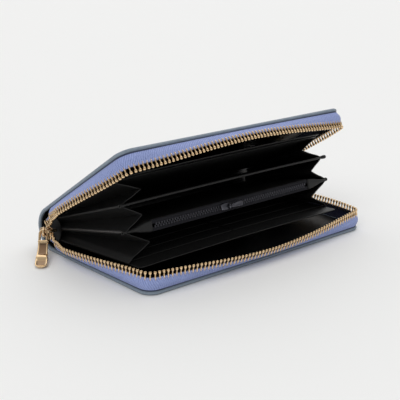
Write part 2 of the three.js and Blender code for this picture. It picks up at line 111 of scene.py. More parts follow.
class Side(Enum):
    """An end of the wallet, with its sign along X."""

    LEFT = -1
    RIGHT = 1


class Lean(Enum):
    """Which way a gusset leaf stands from the sheet that it is sewn to."""

    BOTTOM = 1
    TOP = -1


class Row(Enum):
    """One of the two rows of a zip."""

    LOWER = -1
    UPPER = 1


def srgb(red: int, green: int, blue: int) -> Colour:
    """Linear colour of an 8-bit sRGB one."""
    return tuple(((c / 255 + 0.055) / 1.055) ** 2.4 if c > 10 else c / 255 / 12.92
                 for c in (red, green, blue))


def smooth(value: Array, low: float, high: float) -> Array:
    """Cubic step: 0 below low, 1 above high, 3t^2 - 2t^3 between."""
    t = np.clip((np.asarray(value, float) - low) / (high - low), 0, 1)
    return t * t * (3 - 2 * t)


def ripple(a: Array, b: Array, size: float, seed: float) -> Array:
    """Smooth uneven surface, about -1 to 1: a sum of four crossed sine waves near one wavelength."""
    total = 0
    for k, (turn, stretch) in enumerate(((0.4, 1.0), (1.7, 0.77), (2.6, 1.31), (3.9, 0.61))):
        phase = seed * (1.3 + k) + k * k
        along = (a * math.cos(turn) + b * math.sin(turn)) * stretch
        total = total + np.sin(2 * math.pi * along / size + phase) / 4
    return total


# ---------------------------------------------------------------- meshes


@dataclass
class Shape:
    """Vertices, faces and per-vertex data of a surface that is being put together."""

    points: Array
    faces: List[Array]
    uv: Optional[Array] = None
    edge: Optional[Array] = None

    def moved(self, points: Array) -> "Shape":
        """The same surface with its vertices elsewhere."""
        return Shape(points, self.faces, self.uv, self.edge)

    def volume(self) -> float:
        """Signed volume: a third of the sum of each face triangle's corner dotted with its area."""
        total = 0.0
        for faces in self.faces:
            a = self.points[faces[:, 0]]
            for k in range(1, faces.shape[1] - 1):
                b, c = self.points[faces[:, k]], self.points[faces[:, k + 1]]
                total += float(np.einsum("ij,ij->", a, np.cross(b, c))) / 6
        return total


def grid_faces(index: Array, wrap: bool = False) -> Array:
    """Quads between neighbouring entries of a 2D array of vertex numbers.

    Args:
        index: vertex numbers in rows and columns.
        wrap: whether the last column joins the first.

    Returns:
        One row of four vertex numbers for each quad.
    """
    if wrap:
        index = np.concatenate([index, index[:, :1]], axis=1)
    corners = (index[:-1, :-1], index[:-1, 1:], index[1:, 1:], index[1:, :-1])
    return np.stack(corners, axis=-1).reshape(-1, 4)


def joined(shapes: Sequence[Shape]) -> Shape:
    """Several surfaces as one, each still closed in itself."""
    points, faces, uvs, edges, start = [], [], [], [], 0
    for shape in shapes:
        count = len(shape.points)
        points.append(shape.points)
        faces.extend(f + start for f in shape.faces)
        uvs.append(shape.uv if shape.uv is not None else np.zeros((count, 2)))
        edges.append(shape.edge if shape.edge is not None else np.zeros(count))
        start += count
    return Shape(np.concatenate(points), faces, np.concatenate(uvs), np.concatenate(edges))


def closed_shell(top: Array, bottom: Array, uv: Array, edge: Array) -> Shape:
    """Two surfaces over the same grid that meet along its border.

    Args:
        top: upper points in rows and columns; its border is the shared one.
        bottom: lower points on the same grid.
        uv: texture place of each grid point.
        edge: how close each grid point is to the border, from 0 to 1 on it.

    Returns:
        One closed surface.
    """
    rows, columns = top.shape[:2]
    upper = np.arange(rows * columns).reshape(rows, columns)
    border = np.ones((rows, columns), bool)
    border[1:-1, 1:-1] = False
    lower = upper.copy()
    lower[~border] = rows * columns + np.arange((~border).sum())
    points = np.concatenate([top.reshape(-1, 3), bottom[~border]])
    return Shape(
        points,
        [grid_faces(upper), grid_faces(lower)[:, ::-1]],
        np.concatenate([uv.reshape(-1, 2), uv[~border]]),
        np.concatenate([edge.reshape(-1), edge[~border]]),
    )


def surface_normals(points: Array) -> Array:
    """Unit normals of a grid of points: the cross product of its two gradients."""
    normal = np.cross(np.gradient(points, axis=0), np.gradient(points, axis=1))
    return normal / np.maximum(np.linalg.norm(normal, axis=-1, keepdims=True), 1e-12)


def path_frames(path: Array, start: Array) -> Tuple[Array, Array]:
    """Two unit directions across a path at each point, carried along it without twist.

    Args:
        path: points of the path.
        start: a direction that the first one is kept close to.

    Returns:
        The two arrays of directions.
    """
    tangent = np.gradient(path, axis=0)
    tangent /= np.linalg.norm(tangent, axis=1, keepdims=True)
    first = np.empty_like(path)
    carried = np.asarray(start, float)
    for i, t in enumerate(tangent):
        carried = carried - t * (carried @ t)
        carried = carried / np.linalg.norm(carried)
        first[i] = carried
    return first, np.cross(tangent, first)


def tube(path: Array, radius: Array, start: Sequence[float], sides: int = 10,
         flat: float = 1.0) -> Shape:
    """A round or flattened cord along a path, with rounded ends.

    A ring point is the path point plus radius times (cos a, flat * sin a) in the two directions
    across the path. Extra rings whose radius follows a quarter circle close each end.

    Args:
        path: points of the path.
        radius: radius at each point, or one number.
        start: direction in which the first ring starts.
        sides: points round a ring.
        flat: the second radius as a share of the first.

    Returns:
        A closed surface.
    """
    radius = np.broadcast_to(np.asarray(radius, float), len(path)).copy()
    across, up = path_frames(path, np.asarray(start, float))
    tangent = np.gradient(path, axis=0)
    tangent /= np.linalg.norm(tangent, axis=1, keepdims=True)
    cap = np.array([0.08, 0.5, 0.85])
    reach = np.sqrt(1 - cap**2) * 0.8

    def stations(values: Array, end: Array) -> Array:
        """Values with three more before the first and after the last."""
        return np.concatenate([np.repeat(values[:1], 3, 0), values, np.repeat(values[-1:], 3, 0)])

    centres = stations(path, cap)
    across, up, radii = stations(across, cap), stations(up, cap), stations(radius, cap)
    centres[:3] -= tangent[0] * (reach * radius[0])[:, None]
    centres[-3:] += tangent[-1] * (reach * radius[-1])[::-1, None]
    radii[:3] *= cap
    radii[-3:] *= cap[::-1]
    angle = np.linspace(0, 2 * math.pi, sides, endpoint=False)
    ring = np.cos(angle)[None, :, None] * across[:, None] + flat * np.sin(angle)[None, :, None] * up[:, None]
    points = centres[:, None] + radii[:, None, None] * ring
    index = np.arange(points.shape[0] * sides).reshape(-1, sides)
    length = np.concatenate([[0], np.cumsum(np.linalg.norm(np.diff(centres, axis=0), axis=1))])
    uv = np.stack(np.broadcast_arrays(length[:, None], (angle * radius.mean())[None]), -1)
    return Shape(points.reshape(-1, 3),
                 [grid_faces(index, wrap=True), index[:1, ::-1], index[-1:]],
                 uv.reshape(-1, 2), np.ones(index.size))


def spread(low: float, high: float, step: float) -> Array:
    """Evenly spaced values from low to high, about step apart."""
    return np.linspace(low, high, max(2, int(round((high - low) / step)) + 1))


def rounded_grid(half_x: float, low: float, high: float, insets: Array, across: Array,
                 along: Array) -> Tuple[Array, Array, Array]:
    """A grid over a rounded rectangle, with its outer rows parallel to the outline.

    Away from the corners the grid lines are straight. In a corner block, ring k is the arc of
    radius (corner radius - inset k), shared out evenly from one side to the other.

    Args:
        half_x: half the width.
        low: where the rectangle starts along its length.
        high: where it ends.
        insets: distances of the outer rows from the outline, from 0 to the corner radius.
        across: positions of the inner columns.
        along: positions of the inner rows.

    Returns:
        Position across, position along and distance from the outline, on the grid.
    """
    rings = len(insets) - 1
    radius = insets[-1]
    x_line = np.concatenate([-half_x + insets[:-1], across, half_x - insets[:-1][::-1]])
    s_line = np.concatenate([low + insets[:-1], along, high - insets[:-1][::-1]])
    s, x = np.meshgrid(s_line, x_line, indexing="ij")
    rows, columns = x.shape
    i, j = np.indices(x.shape)
    from_row = np.minimum(i, rows - 1 - i)
    from_column = np.minimum(j, columns - 1 - j)
    ring = np.minimum(np.minimum(from_row, from_column), rings)
    corner = (from_row < rings) & (from_column < rings)
    steps = np.maximum(rings - ring, 1)
    by_side = from_column <= from_row
    share = np.where(by_side, (rings - from_row) / steps, 2 - (rings - from_column) / steps)
    angle = share * math.pi / 4
    arc = radius - insets[ring]
    side = np.where(j < columns / 2, -1, 1)
    end = np.where(i < rows / 2, -1, 1)
    centre = np.where(end < 0, low + radius, high - radius)
    x = np.where(corner, side * (half_x - radius + arc * np.cos(angle)), x)
    s = np.where(corner, centre + end * arc * np.sin(angle), s)
    inset = np.minimum(np.minimum(half_x - np.abs(x), s - low), high - s)
    return x, s, np.where(ring < rings, insets[ring], inset)


def edge_insets(round_off: float, radius: float) -> Array:
    """Row distances that draw a rounded edge and then space out to a corner radius."""
    quarter = round_off * (1 - np.cos(np.linspace(0, math.pi / 2, 6)))
    rest = np.array([0.35, 0.65, 1.0]) * (radius - round_off) + round_off
    return np.concatenate([quarter, rest])


def build(name: str, shape: Shape, finish: "Finish") -> bpy.types.Object:
    """Puts a surface into Blender, in metres, facing outwards, with its finish.

    Args:
        name: the object's name.
        shape: the surface, in millimetres.
        finish: the material that it is dressed in.

    Returns:
        The new object.
    """
    flip = shape.volume() < 0
    faces = [f[:, ::-1] if flip else f for f in shape.faces]
    mesh = bpy.data.meshes.new(name)
    mesh.from_pydata((shape.points * MM).tolist(), [], [row for f in faces for row in f.tolist()])
    corners = np.empty(len(mesh.loops), np.int32)
    mesh.loops.foreach_get("vertex_index", corners)
    if shape.uv is not None:
        layer = mesh.uv_layers.new(name="UVMap")
        layer.data.foreach_set("uv", shape.uv[corners].astype(np.float32).ravel())
    edge = shape.edge if shape.edge is not None else np.zeros(len(shape.points))
    mesh.attributes.new("edge", "FLOAT", "POINT").data.foreach_set("value", edge.astype(np.float32))
    mesh.polygons.foreach_set("use_smooth", [True] * len(mesh.polygons))
    mesh.materials.append(finish.material())
    mesh.validate()
    mesh.update()
    piece = bpy.data.objects.new(name, mesh)
    bpy.context.scene.collection.objects.link(piece)
    LOG.info("%s: %d vertices, %d faces", name, len(mesh.vertices), len(mesh.polygons))
    return piece


# ---------------------------------------------------------------- shader groups and finishes


class Graph:
    """A node tree that is being wired up."""

    def __init__(self, tree: bpy.types.NodeTree) -> None:
        """Starts on an empty tree."""
        self.tree = tree
        tree.nodes.clear()

    def add(self, kind: str, inputs: Optional[Dict] = None, **settings) -> bpy.types.Node:
        """Adds a node.

        Args:
            kind: node type without its ShaderNode prefix.
            inputs: by socket name or number, a value or an output socket to link.
            settings: the node's own properties.

        Returns:
            The node.
        """
        node = self.tree.nodes.new(kind if kind.startswith("Node") else "ShaderNode" + kind)
        for key, value in settings.items():
            setattr(node, key, value)
        for key, value in (inputs or {}).items():
            if isinstance(value, bpy.types.NodeSocket):
                self.tree.links.new(value, node.inputs[key])
            else:
                node.inputs[key].default_value = value
        return node

    def math(self, operation: str, *values) -> bpy.types.NodeSocket:
        """One Math node; a number or a socket for each input."""
        return self.add("Math", dict(enumerate(values)), operation=operation).outputs[0]

    def mix(self, factor, first, second) -> bpy.types.NodeSocket:
        """A colour between two, by a factor; colours are tuples or sockets."""
        fill = [c if isinstance(c, bpy.types.NodeSocket) else (*c, 1.0) for c in (first, second)]
        node = self.add("Mix", {0: factor, 6: fill[0], 7: fill[1]}, data_type="RGBA")
        return node.outputs[2]


class Groups:
    """Shader groups that several finishes share, each made the first time that it is asked for."""

    made: Dict[str, bpy.types.NodeTree] = {}

    @classmethod
    def start(cls, name: str, inputs: Dict[str, str], outputs: Sequence[str]) -> Graph:
        """A new group with named sockets: its graph, with its input and output nodes added."""
        tree = bpy.data.node_groups.new(name, "ShaderNodeTree")
        for label, kind in inputs.items():
            tree.interface.new_socket(label, in_out="INPUT", socket_type="NodeSocket" + kind)
        for label in outputs:
            tree.interface.new_socket(label, in_out="OUTPUT", socket_type="NodeSocketFloat")
        graph = Graph(tree)
        graph.source = graph.add("NodeGroupInput").outputs
        graph.sink = graph.add("NodeGroupOutput").inputs
        cls.made[name] = tree
        return graph

    @classmethod
    def grain(cls) -> bpy.types.NodeTree:
        """Leather grain: pebbles divided by creases, finer pores on them, and broad tone."""
        if "grain" not in cls.made:
            g = cls.start("grain", {"Vector": "Vector", "Cells": "Float", "Pores": "Float"},
                          ("Crease", "Height", "Tone"))
            vector, cells = g.source["Vector"], g.source["Cells"]
            warp = g.add("TexNoise", {"Vector": vector, "Scale": 240.0, "Detail": 2.0})
            bent = g.add("VectorMath", {0: warp.outputs["Color"], 3: 0.0009}, operation="SCALE")
            at = g.add("VectorMath", {0: vector, 1: bent.outputs[0]}, operation="ADD").outputs[0]
            cell = g.add("TexVoronoi", {"Vector": at, "Scale": cells}, feature="DISTANCE_TO_EDGE")
            flat = g.add("MapRange", {0: cell.outputs["Distance"], 1: 0.0, 2: 0.22},
                         interpolation_type="SMOOTHSTEP").outputs[0]
            fine = g.add("TexNoise", {"Vector": vector, "Scale": g.math("MULTIPLY", cells, 3.1),
                                      "Detail": 3.0}).outputs[0]
            pores = g.math("MULTIPLY", fine, g.source["Pores"])
            broad = g.add("TexNoise", {"Vector": vector, "Scale": 38.0, "Detail": 3.0}).outputs[0]
            g.tree.links.new(g.math("SUBTRACT", 1.0, flat), g.sink["Crease"])
            g.tree.links.new(g.math("ADD", flat, pores), g.sink["Height"])
            g.tree.links.new(broad, g.sink["Tone"])
        return cls.made["grain"]

    @classmethod
    def wear(cls) -> bpy.types.NodeTree:
        """Rubbed edges and a painted edge highlight: an edge mask broken up by noise."""
        if "wear" not in cls.made:
            g = cls.start("wear", {"Vector": "Vector", "Edge": "Float", "Amount": "Float"}, ("Mask",))
            noise = g.add("TexNoise", {"Vector": g.source["Vector"], "Scale": 420.0, "Detail": 4.0})
            broken = g.add("MapRange", {0: noise.outputs[0], 1: 0.25, 2: 0.75, 3: 0.45, 4: 1.0})
            power = g.math("POWER", g.source["Edge"], 1.3)
            mask = g.math("MULTIPLY", g.math("MULTIPLY", power, broken.outputs[0]), g.source["Amount"])
            g.tree.links.new(mask, g.sink["Mask"])
        return cls.made["wear"]

    @classmethod
    def weave(cls) -> bpy.types.NodeTree:
        """Woven tape: crossing sine threads along U and V, in millimetres, or ribs along U."""
        if "weave" not in cls.made:
            g = cls.start("weave", {"UV": "Vector", "Thread": "Float", "Ribs": "Float"},
                          ("Height", "Gap"))
            split = g.add("SeparateXYZ", {0: g.source["UV"]}).outputs
            turn = 2 * math.pi
            u = g.math("DIVIDE", g.math("MULTIPLY", split[0], turn), g.source["Thread"])
            v = g.math("DIVIDE", g.math("MULTIPLY", split[1], turn), g.source["Thread"])
            waver = g.add("TexNoise", {"Vector": g.source["UV"], "Scale": 0.8, "Detail": 2.0}).outputs[0]
            diagonal = g.math("ADD", g.math("ADD", u, g.math("MULTIPLY", v, 0.5)), g.math("MULTIPLY", waver, 7.0))
            rib = g.math("ABSOLUTE", g.math("SINE", g.math("MULTIPLY", diagonal, 0.5)))
            weft = g.math("ABSOLUTE", g.math("SINE", g.math("MULTIPLY", v, 0.9)))
            cloth = g.math("MULTIPLY", g.math("POWER", rib, 0.6), g.math("ADD", weft, 0.5))
            height = g.add("Mix", {0: g.source["Ribs"], 2: cloth, 3: weft}, data_type="FLOAT").outputs[0]
            g.tree.links.new(height, g.sink["Height"])
            g.tree.links.new(g.math("SUBTRACT", 1.0, g.math("MINIMUM", height, 1.0)), g.sink["Gap"])
        return cls.made["weave"]

    @classmethod
    def polish(cls) -> bpy.types.NodeTree:
        """Handled metal: cloudy smudges and fine hairlines."""
        if "polish" not in cls.made:
            g = cls.start("polish", {"Vector": "Vector"}, ("Smudge", "Hairline"))
            vector = g.source["Vector"]
            cloud = g.add("TexNoise", {"Vector": vector, "Scale": 160.0, "Detail": 4.0}).outputs[0]
            long = g.add("Mapping", {"Vector": vector, "Scale": (900.0, 6000.0, 900.0)}).outputs[0]
            hair = g.add("TexNoise", {"Vector": long, "Scale": 1.0, "Detail": 3.0}).outputs[0]
            g.tree.links.new(cloud, g.sink["Smudge"])
            g.tree.links.new(hair, g.sink["Hairline"])
        return cls.made["polish"]


@dataclass(frozen=True)
class Finish:
    """A finish of the wallet: its name, and the record's material slot."""

    name: str
    slot: str

    def material(self) -> bpy.types.Material:
        """The material, made once."""
        found = bpy.data.materials.get(self.name)
        if found is None:
            found = bpy.data.materials.new(self.name)
            found.use_nodes = True
            graph = Graph(found.node_tree)
            shader = graph.add("BsdfPrincipled")
            out = graph.add("OutputMaterial")
            graph.tree.links.new(shader.outputs[0], out.inputs[0])
            self.wire(graph, shader)
        return found

    def wire(self, graph: Graph, shader: bpy.types.Node) -> None:
        """Wires the finish's own nodes to its shader."""
        raise NotImplementedError

    @staticmethod
    def group(graph: Graph, tree: bpy.types.NodeTree, inputs: Dict) -> bpy.types.Node:
        """Places a shared group with its inputs set."""
        node = graph.add("Group")
        node.node_tree = tree
        for key, value in inputs.items():
            if isinstance(value, bpy.types.NodeSocket):
                graph.tree.links.new(value, node.inputs[key])
            else:
                node.inputs[key].default_value = value
        return node

    @staticmethod
    def bump(graph: Graph, shader: bpy.types.Node, height, depth: float) -> None:
        """Relief of a depth, in millimetres, under a 0 to 1 height."""
        node = graph.add("Bump", {"Height": height, "Strength": 1.0, "Distance": depth * MM})
        graph.tree.links.new(node.outputs[0], shader.inputs["Normal"])


@dataclass(frozen=True)
class Leather(Finish):
    """Grained leather, lighter along its edges: rubbed, and with a painted edge highlight.

    Attributes:
        colour: of the pebbles.
        crease: between them.
        worn_and_lit: colour of rubbed edges, which also paints the highlight along them.
        cells: pebbles in a metre.
        depth: relief, in millimetres.
        roughness: lowest and highest.
        wear: how strongly edges are rubbed and painted with highlight.
        specular: strength of the gloss.
        pores: relief of the fine pores against the pebbles'.
    """

    colour: Colour
    crease: Colour
    worn_and_lit: Colour
    cells: float
    depth: float
    roughness: Tuple[float, float]
    wear: float = 1.0
    specular: float = 0.5
    pores: float = 0.35

    def wire(self, graph: Graph, shader: bpy.types.Node) -> None:
        """Colour by crease, tone and rubbed edges with a painted edge highlight; roughness by tone; relief by grain.
        """
        at = graph.add("TexCoord").outputs["Object"]
        edge = graph.add("Attribute", attribute_name="edge").outputs["Fac"]
        grain = self.group(graph, Groups.grain(), {"Vector": at, "Cells": self.cells, "Pores": self.pores})
        worn_and_lit = self.group(graph, Groups.wear(), {"Vector": at, "Edge": edge, "Amount": self.wear})
        tone = graph.add("MapRange", {0: grain.outputs["Tone"], 1: 0.3, 2: 0.7, 3: 0.0, 4: 0.28})
        deep = tuple(c * 0.72 for c in self.colour)
        base = graph.mix(tone.outputs[0], self.colour, deep)
        creased = graph.mix(graph.math("MULTIPLY", grain.outputs["Crease"], 0.8), base, self.crease)
        # Painted highlight: edges lighten towards the rubbed colour, by the edge mask.
        colour = graph.mix(worn_and_lit.outputs["Mask"], creased, self.worn_and_lit)
        rough = graph.add("MapRange", {0: grain.outputs["Tone"], 1: 0.3, 2: 0.7,
                                       3: self.roughness[0], 4: self.roughness[1]})
        graph.tree.links.new(colour, shader.inputs["Base Color"])
        graph.tree.links.new(rough.outputs[0], shader.inputs["Roughness"])
        shader.inputs["Specular IOR Level"].default_value = self.specular
        self.bump(graph, shader, grain.outputs["Height"], self.depth)


@dataclass(frozen=True)
class Tape(Finish):
    """Woven zip tape on a UV map in millimetres, with a painted shadow at its sewn root.

    Attributes:
        colour: of the threads.
        gap: between them.
        root: painted shadow colour along the seam, where V is near 0.
        inside: painted shade colour on the face towards the inside, where the edge attribute is 1.
        thread: width of a thread, in millimetres.
        depth: relief, in millimetres.
        seam: height of the painted shadow above the seam, in millimetres.
        ribs: 0 for a plain weave, 1 for ribs along the tape.
    """

    colour: Colour
    gap: Colour
    root: Colour
    inside: Colour
    thread: float
    depth: float
    seam: float
    ribs: float = 0.0

    def wire(self, graph: Graph, shader: bpy.types.Node) -> None:
        """Colour by weave, with a painted shadow above the seam and painted shade on the inner face; relief by weave.
        """
        uv = graph.add("UVMap", uv_map="UVMap").outputs[0]
        weave = self.group(graph, Groups.weave(), {"UV": uv, "Thread": self.thread, "Ribs": self.ribs})
        at = graph.add("TexCoord").outputs["Object"]
        cloud = graph.add("TexNoise", {"Vector": at, "Scale": 90.0, "Detail": 3.0}).outputs[0]
        tone = graph.add("MapRange", {0: cloud, 1: 0.3, 2: 0.7, 3: 0.0, 4: 0.3}).outputs[0]
        base = graph.mix(tone, self.colour, tuple(c * 0.82 for c in self.colour))
        woven = graph.mix(graph.math("MULTIPLY", weave.outputs["Gap"], 0.95), base, self.gap)
        height = graph.add("SeparateXYZ", {0: uv}).outputs[1]
        # Painted shadow: the colour darkens towards the root colour within the seam height.
        low = graph.add("MapRange", {0: height, 1: self.seam * 0.4, 2: self.seam, 3: 1.0, 4: 0.0},
                        interpolation_type="SMOOTHSTEP").outputs[0]
        # Painted shade: the inner face takes the inside colour.
        inward = graph.add("Attribute", attribute_name="edge").outputs["Fac"]
        shaded = graph.mix(inward, graph.mix(low, woven, self.root), self.inside)
        graph.tree.links.new(shaded, shader.inputs["Base Color"])
        shader.inputs["Roughness"].default_value = 0.82
        shader.inputs["Sheen Weight"].default_value = 0.1
        shader.inputs["Sheen Roughness"].default_value = 0.4
        self.bump(graph, shader, weave.outputs["Height"], self.depth)


@dataclass(frozen=True)
class Metal(Finish):
    """Plated metal with smudges and hairlines, and a painted dark reflection where the edge attribute is low.

    Attributes:
        colour: of the plating.
        smudge_and_dark_reflection: colour of its smudge clouds, and of the painted dark reflection in its hollows.
        roughness: lowest and highest.
        age: how strongly the hollows are painted with dark reflection.
    """

    colour: Colour
    smudge_and_dark_reflection: Colour
    roughness: Tuple[float, float]
    age: float = 0.0

    def wire(self, graph: Graph, shader: bpy.types.Node) -> None:
        """Colour by smudges and by a painted dark reflection in hollows, roughness by smudges, and a hairline relief.
        """
        at = graph.add("TexCoord").outputs["Object"]
        polish = self.group(graph, Groups.polish(), {"Vector": at})
        smudge = graph.add("MapRange", {0: polish.outputs["Smudge"], 1: 0.35, 2: 0.7, 3: 0.0, 4: 1.0})
        rough = graph.add("MapRange", {0: smudge.outputs[0], 1: 0.0, 2: 1.0,
                                       3: self.roughness[0], 4: self.roughness[1]})
        edge = graph.add("Attribute", attribute_name="edge").outputs["Fac"]
        # Painted dark reflection: the colour darkens where the edge attribute is low.
        hollow = graph.math("MULTIPLY", graph.math("SUBTRACT", 1.0, edge), self.age)
        smudge_and_reflection_mask = graph.math("MAXIMUM", hollow, graph.math("MULTIPLY", smudge.outputs[0], 0.2))
        colour = graph.mix(smudge_and_reflection_mask, self.colour, self.smudge_and_dark_reflection)
        graph.tree.links.new(colour, shader.inputs["Base Color"])
        graph.tree.links.new(rough.outputs[0], shader.inputs["Roughness"])
        shader.inputs["Metallic"].default_value = 1.0
        self.bump(graph, shader, polish.outputs["Hairline"], 0.006)


@dataclass(frozen=True)
class Board(Finish):
    """Grey stiffener board with flecks of fibre.

    Attributes:
        colour: of the board.
        fleck: of the fibres.
    """

    colour: Colour
    fleck: Colour

    def wire(self, graph: Graph, shader: bpy.types.Node) -> None:
        """Fibres as stretched noise over the board's colour."""
        at = graph.add("TexCoord").outputs["Object"]
        long = graph.add("Mapping", {"Vector": at, "Scale": (300.0, 1900.0, 300.0)}).outputs[0]
        fibre = graph.add("TexNoise", {"Vector": long, "Scale": 1.0, "Detail": 4.0}).outputs[0]
        mask = graph.add("MapRange", {0: fibre, 1: 0.5, 2: 0.7}).outputs[0]
        graph.tree.links.new(graph.mix(mask, self.colour, self.fleck), shader.inputs["Base Color"])
        shader.inputs["Roughness"].default_value = 0.92
        self.bump(graph, shader, fibre, 0.05)


# A leather's third colour marks rubbed edges and also paints their highlight. A tape's third colour is a painted
# shadow at its root and its fourth a painted shade on its inner face. A metal's second colour is its smudges and the
# painted dark reflection in its hollows.
OUTER = Leather("slate_leather", "outer_leather", srgb(114, 128, 142), srgb(84, 95, 107),
                srgb(150, 163, 176), 2100.0, 0.03, (0.34, 0.48), wear=0.6, specular=0.6)
BLACK = Leather("black_leather", "black_leather", srgb(5, 5, 6), srgb(2, 2, 2),
                srgb(190, 190, 198), 1500.0, 0.05, (0.62, 0.76), wear=1.0, specular=0.05)
# Bead leather, much lighter than the black: rubbed edges with a painted highlight.
BEAD = Leather("rubbed_black_leather", "black_leather", srgb(86, 83, 82), srgb(40, 39, 39),
               srgb(120, 116, 115), 1700.0, 0.04, (0.4, 0.55), wear=0.3, specular=0.4)
LINING = Leather("black_lining", "lining", srgb(7, 7, 8), srgb(4, 4, 4),
                 srgb(38, 38, 42), 2600.0, 0.015, (0.3, 0.42), wear=0.6, specular=0.3, pores=0.5)
BLUE_TAPE = Tape("periwinkle_tape", "blue_tape", srgb(160, 174, 222), srgb(92, 104, 164),
                 srgb(50, 58, 80), srgb(22, 24, 44), 1.3, 0.12, 0.8)
BLACK_TAPE = Tape("black_tape", "black_tape", srgb(74, 74, 80), srgb(8, 8, 10),
                  srgb(14, 14, 16), srgb(10, 10, 12), 2.2, 0.14, 0.2, ribs=0.85)
GOLD = Metal("gold_plate", "gold_metal", srgb(255, 222, 176), srgb(104, 80, 62), (0.12, 0.24), age=0.95)
BLACK_METAL = Metal("black_plate", "black_metal", srgb(120, 120, 128), srgb(18, 18, 21), (0.22, 0.4), age=0.6)
BOARD = Board("stiffener_board", "board", srgb(118, 108, 96), srgb(150, 140, 126))


# ---------------------------------------------------------------- layout read from the frame


@dataclass(frozen=True)
class Page:
    """A sheet of the fan: its body, how far it is turned open, and the line it turns on."""

    body: str
    turn: float
    hinge: Tuple[float, float]

    def place(self, x: Array, reach: Array, rise: Array) -> Array:
        """Points of the open wallet: (reach, rise) turned about the hinge line."""
        c, s = math.cos(self.turn), math.sin(self.turn)
        y = self.hinge[0] - reach * c + rise * s
        z = self.hinge[1] + reach * s + rise * c
        return np.stack(np.broadcast_arrays(x, y, z), axis=-1)

    def extent(self, node: str) -> Tuple[Array, Array]:
        """Lowest and highest (x, reach, rise) of a CAD node of this sheet."""
        mesh = bpy.data.objects[node].data
        points = np.empty(len(mesh.vertices) * 3)
        mesh.vertices.foreach_get("co", points)
        x, y, z = points.reshape(-1, 3).T / MM
        c, s = math.cos(self.turn), math.sin(self.turn)
        dy, dz = y - self.hinge[0], z - self.hinge[1]
        own = np.stack([x, -dy * c + dz * s, dy * s + dz * c])
        return own.min(axis=1), own.max(axis=1)


class Layout:
    """The wallet's hinge line, sheets and covers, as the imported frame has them."""

    def __init__(self, frame: Dict) -> None:
        """Reads the joints: a gusset's fold axis lies in its sheet and gives the sheet's turn."""
        self.frame = frame
        self.joints = {j["name"]: j for j in frame["joints"]}
        hinge = self.joints["cover_hinge"]["pos_m"]
        self.hinge = (hinge[1] / MM, hinge[2] / MM)
        behaviour = frame["record"]["behaviour"]
        self.ratios = {c["joint"]: c["ratio"] for c in behaviour["couplings"]}
        self.pages: Dict[str, Page] = {"lower_cover": Page("lower_cover", 0.0, self.hinge)}
        for joint in self.joints.values():
            if joint["name"].endswith("_fold"):
                turn = math.atan2(abs(joint["axis"][2]), abs(joint["axis"][1]))
                self.pages[joint["parent"]] = Page(joint["parent"], turn, self.hinge)
        self.opening = self.pages["slip_side"].turn / self.ratios["slip_side_turn"]
        self.pages["upper_cover"] = Page("upper_cover", self.opening, self.hinge)
        low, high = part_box("lower_cover_leather")
        self.half = high.x / MM
        self.front = -low.y / MM
        self.back = high.y / MM
        self.edge = high.z / MM

    def blend_spine(self, piece: bpy.types.Object) -> None:
        """Bakes a piece's transform into its mesh; the spine's start and end points are worked out but not used."""
        start = self.pages["lower_cover"].place(0.0, self.hinge[0] - self.back, -self.hinge[1])
        end = self.pages["upper_cover"].place(0.0, self.hinge[0] - self.back, self.hinge[1])
        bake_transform(piece)


# ---------------------------------------------------------------- covers and spine


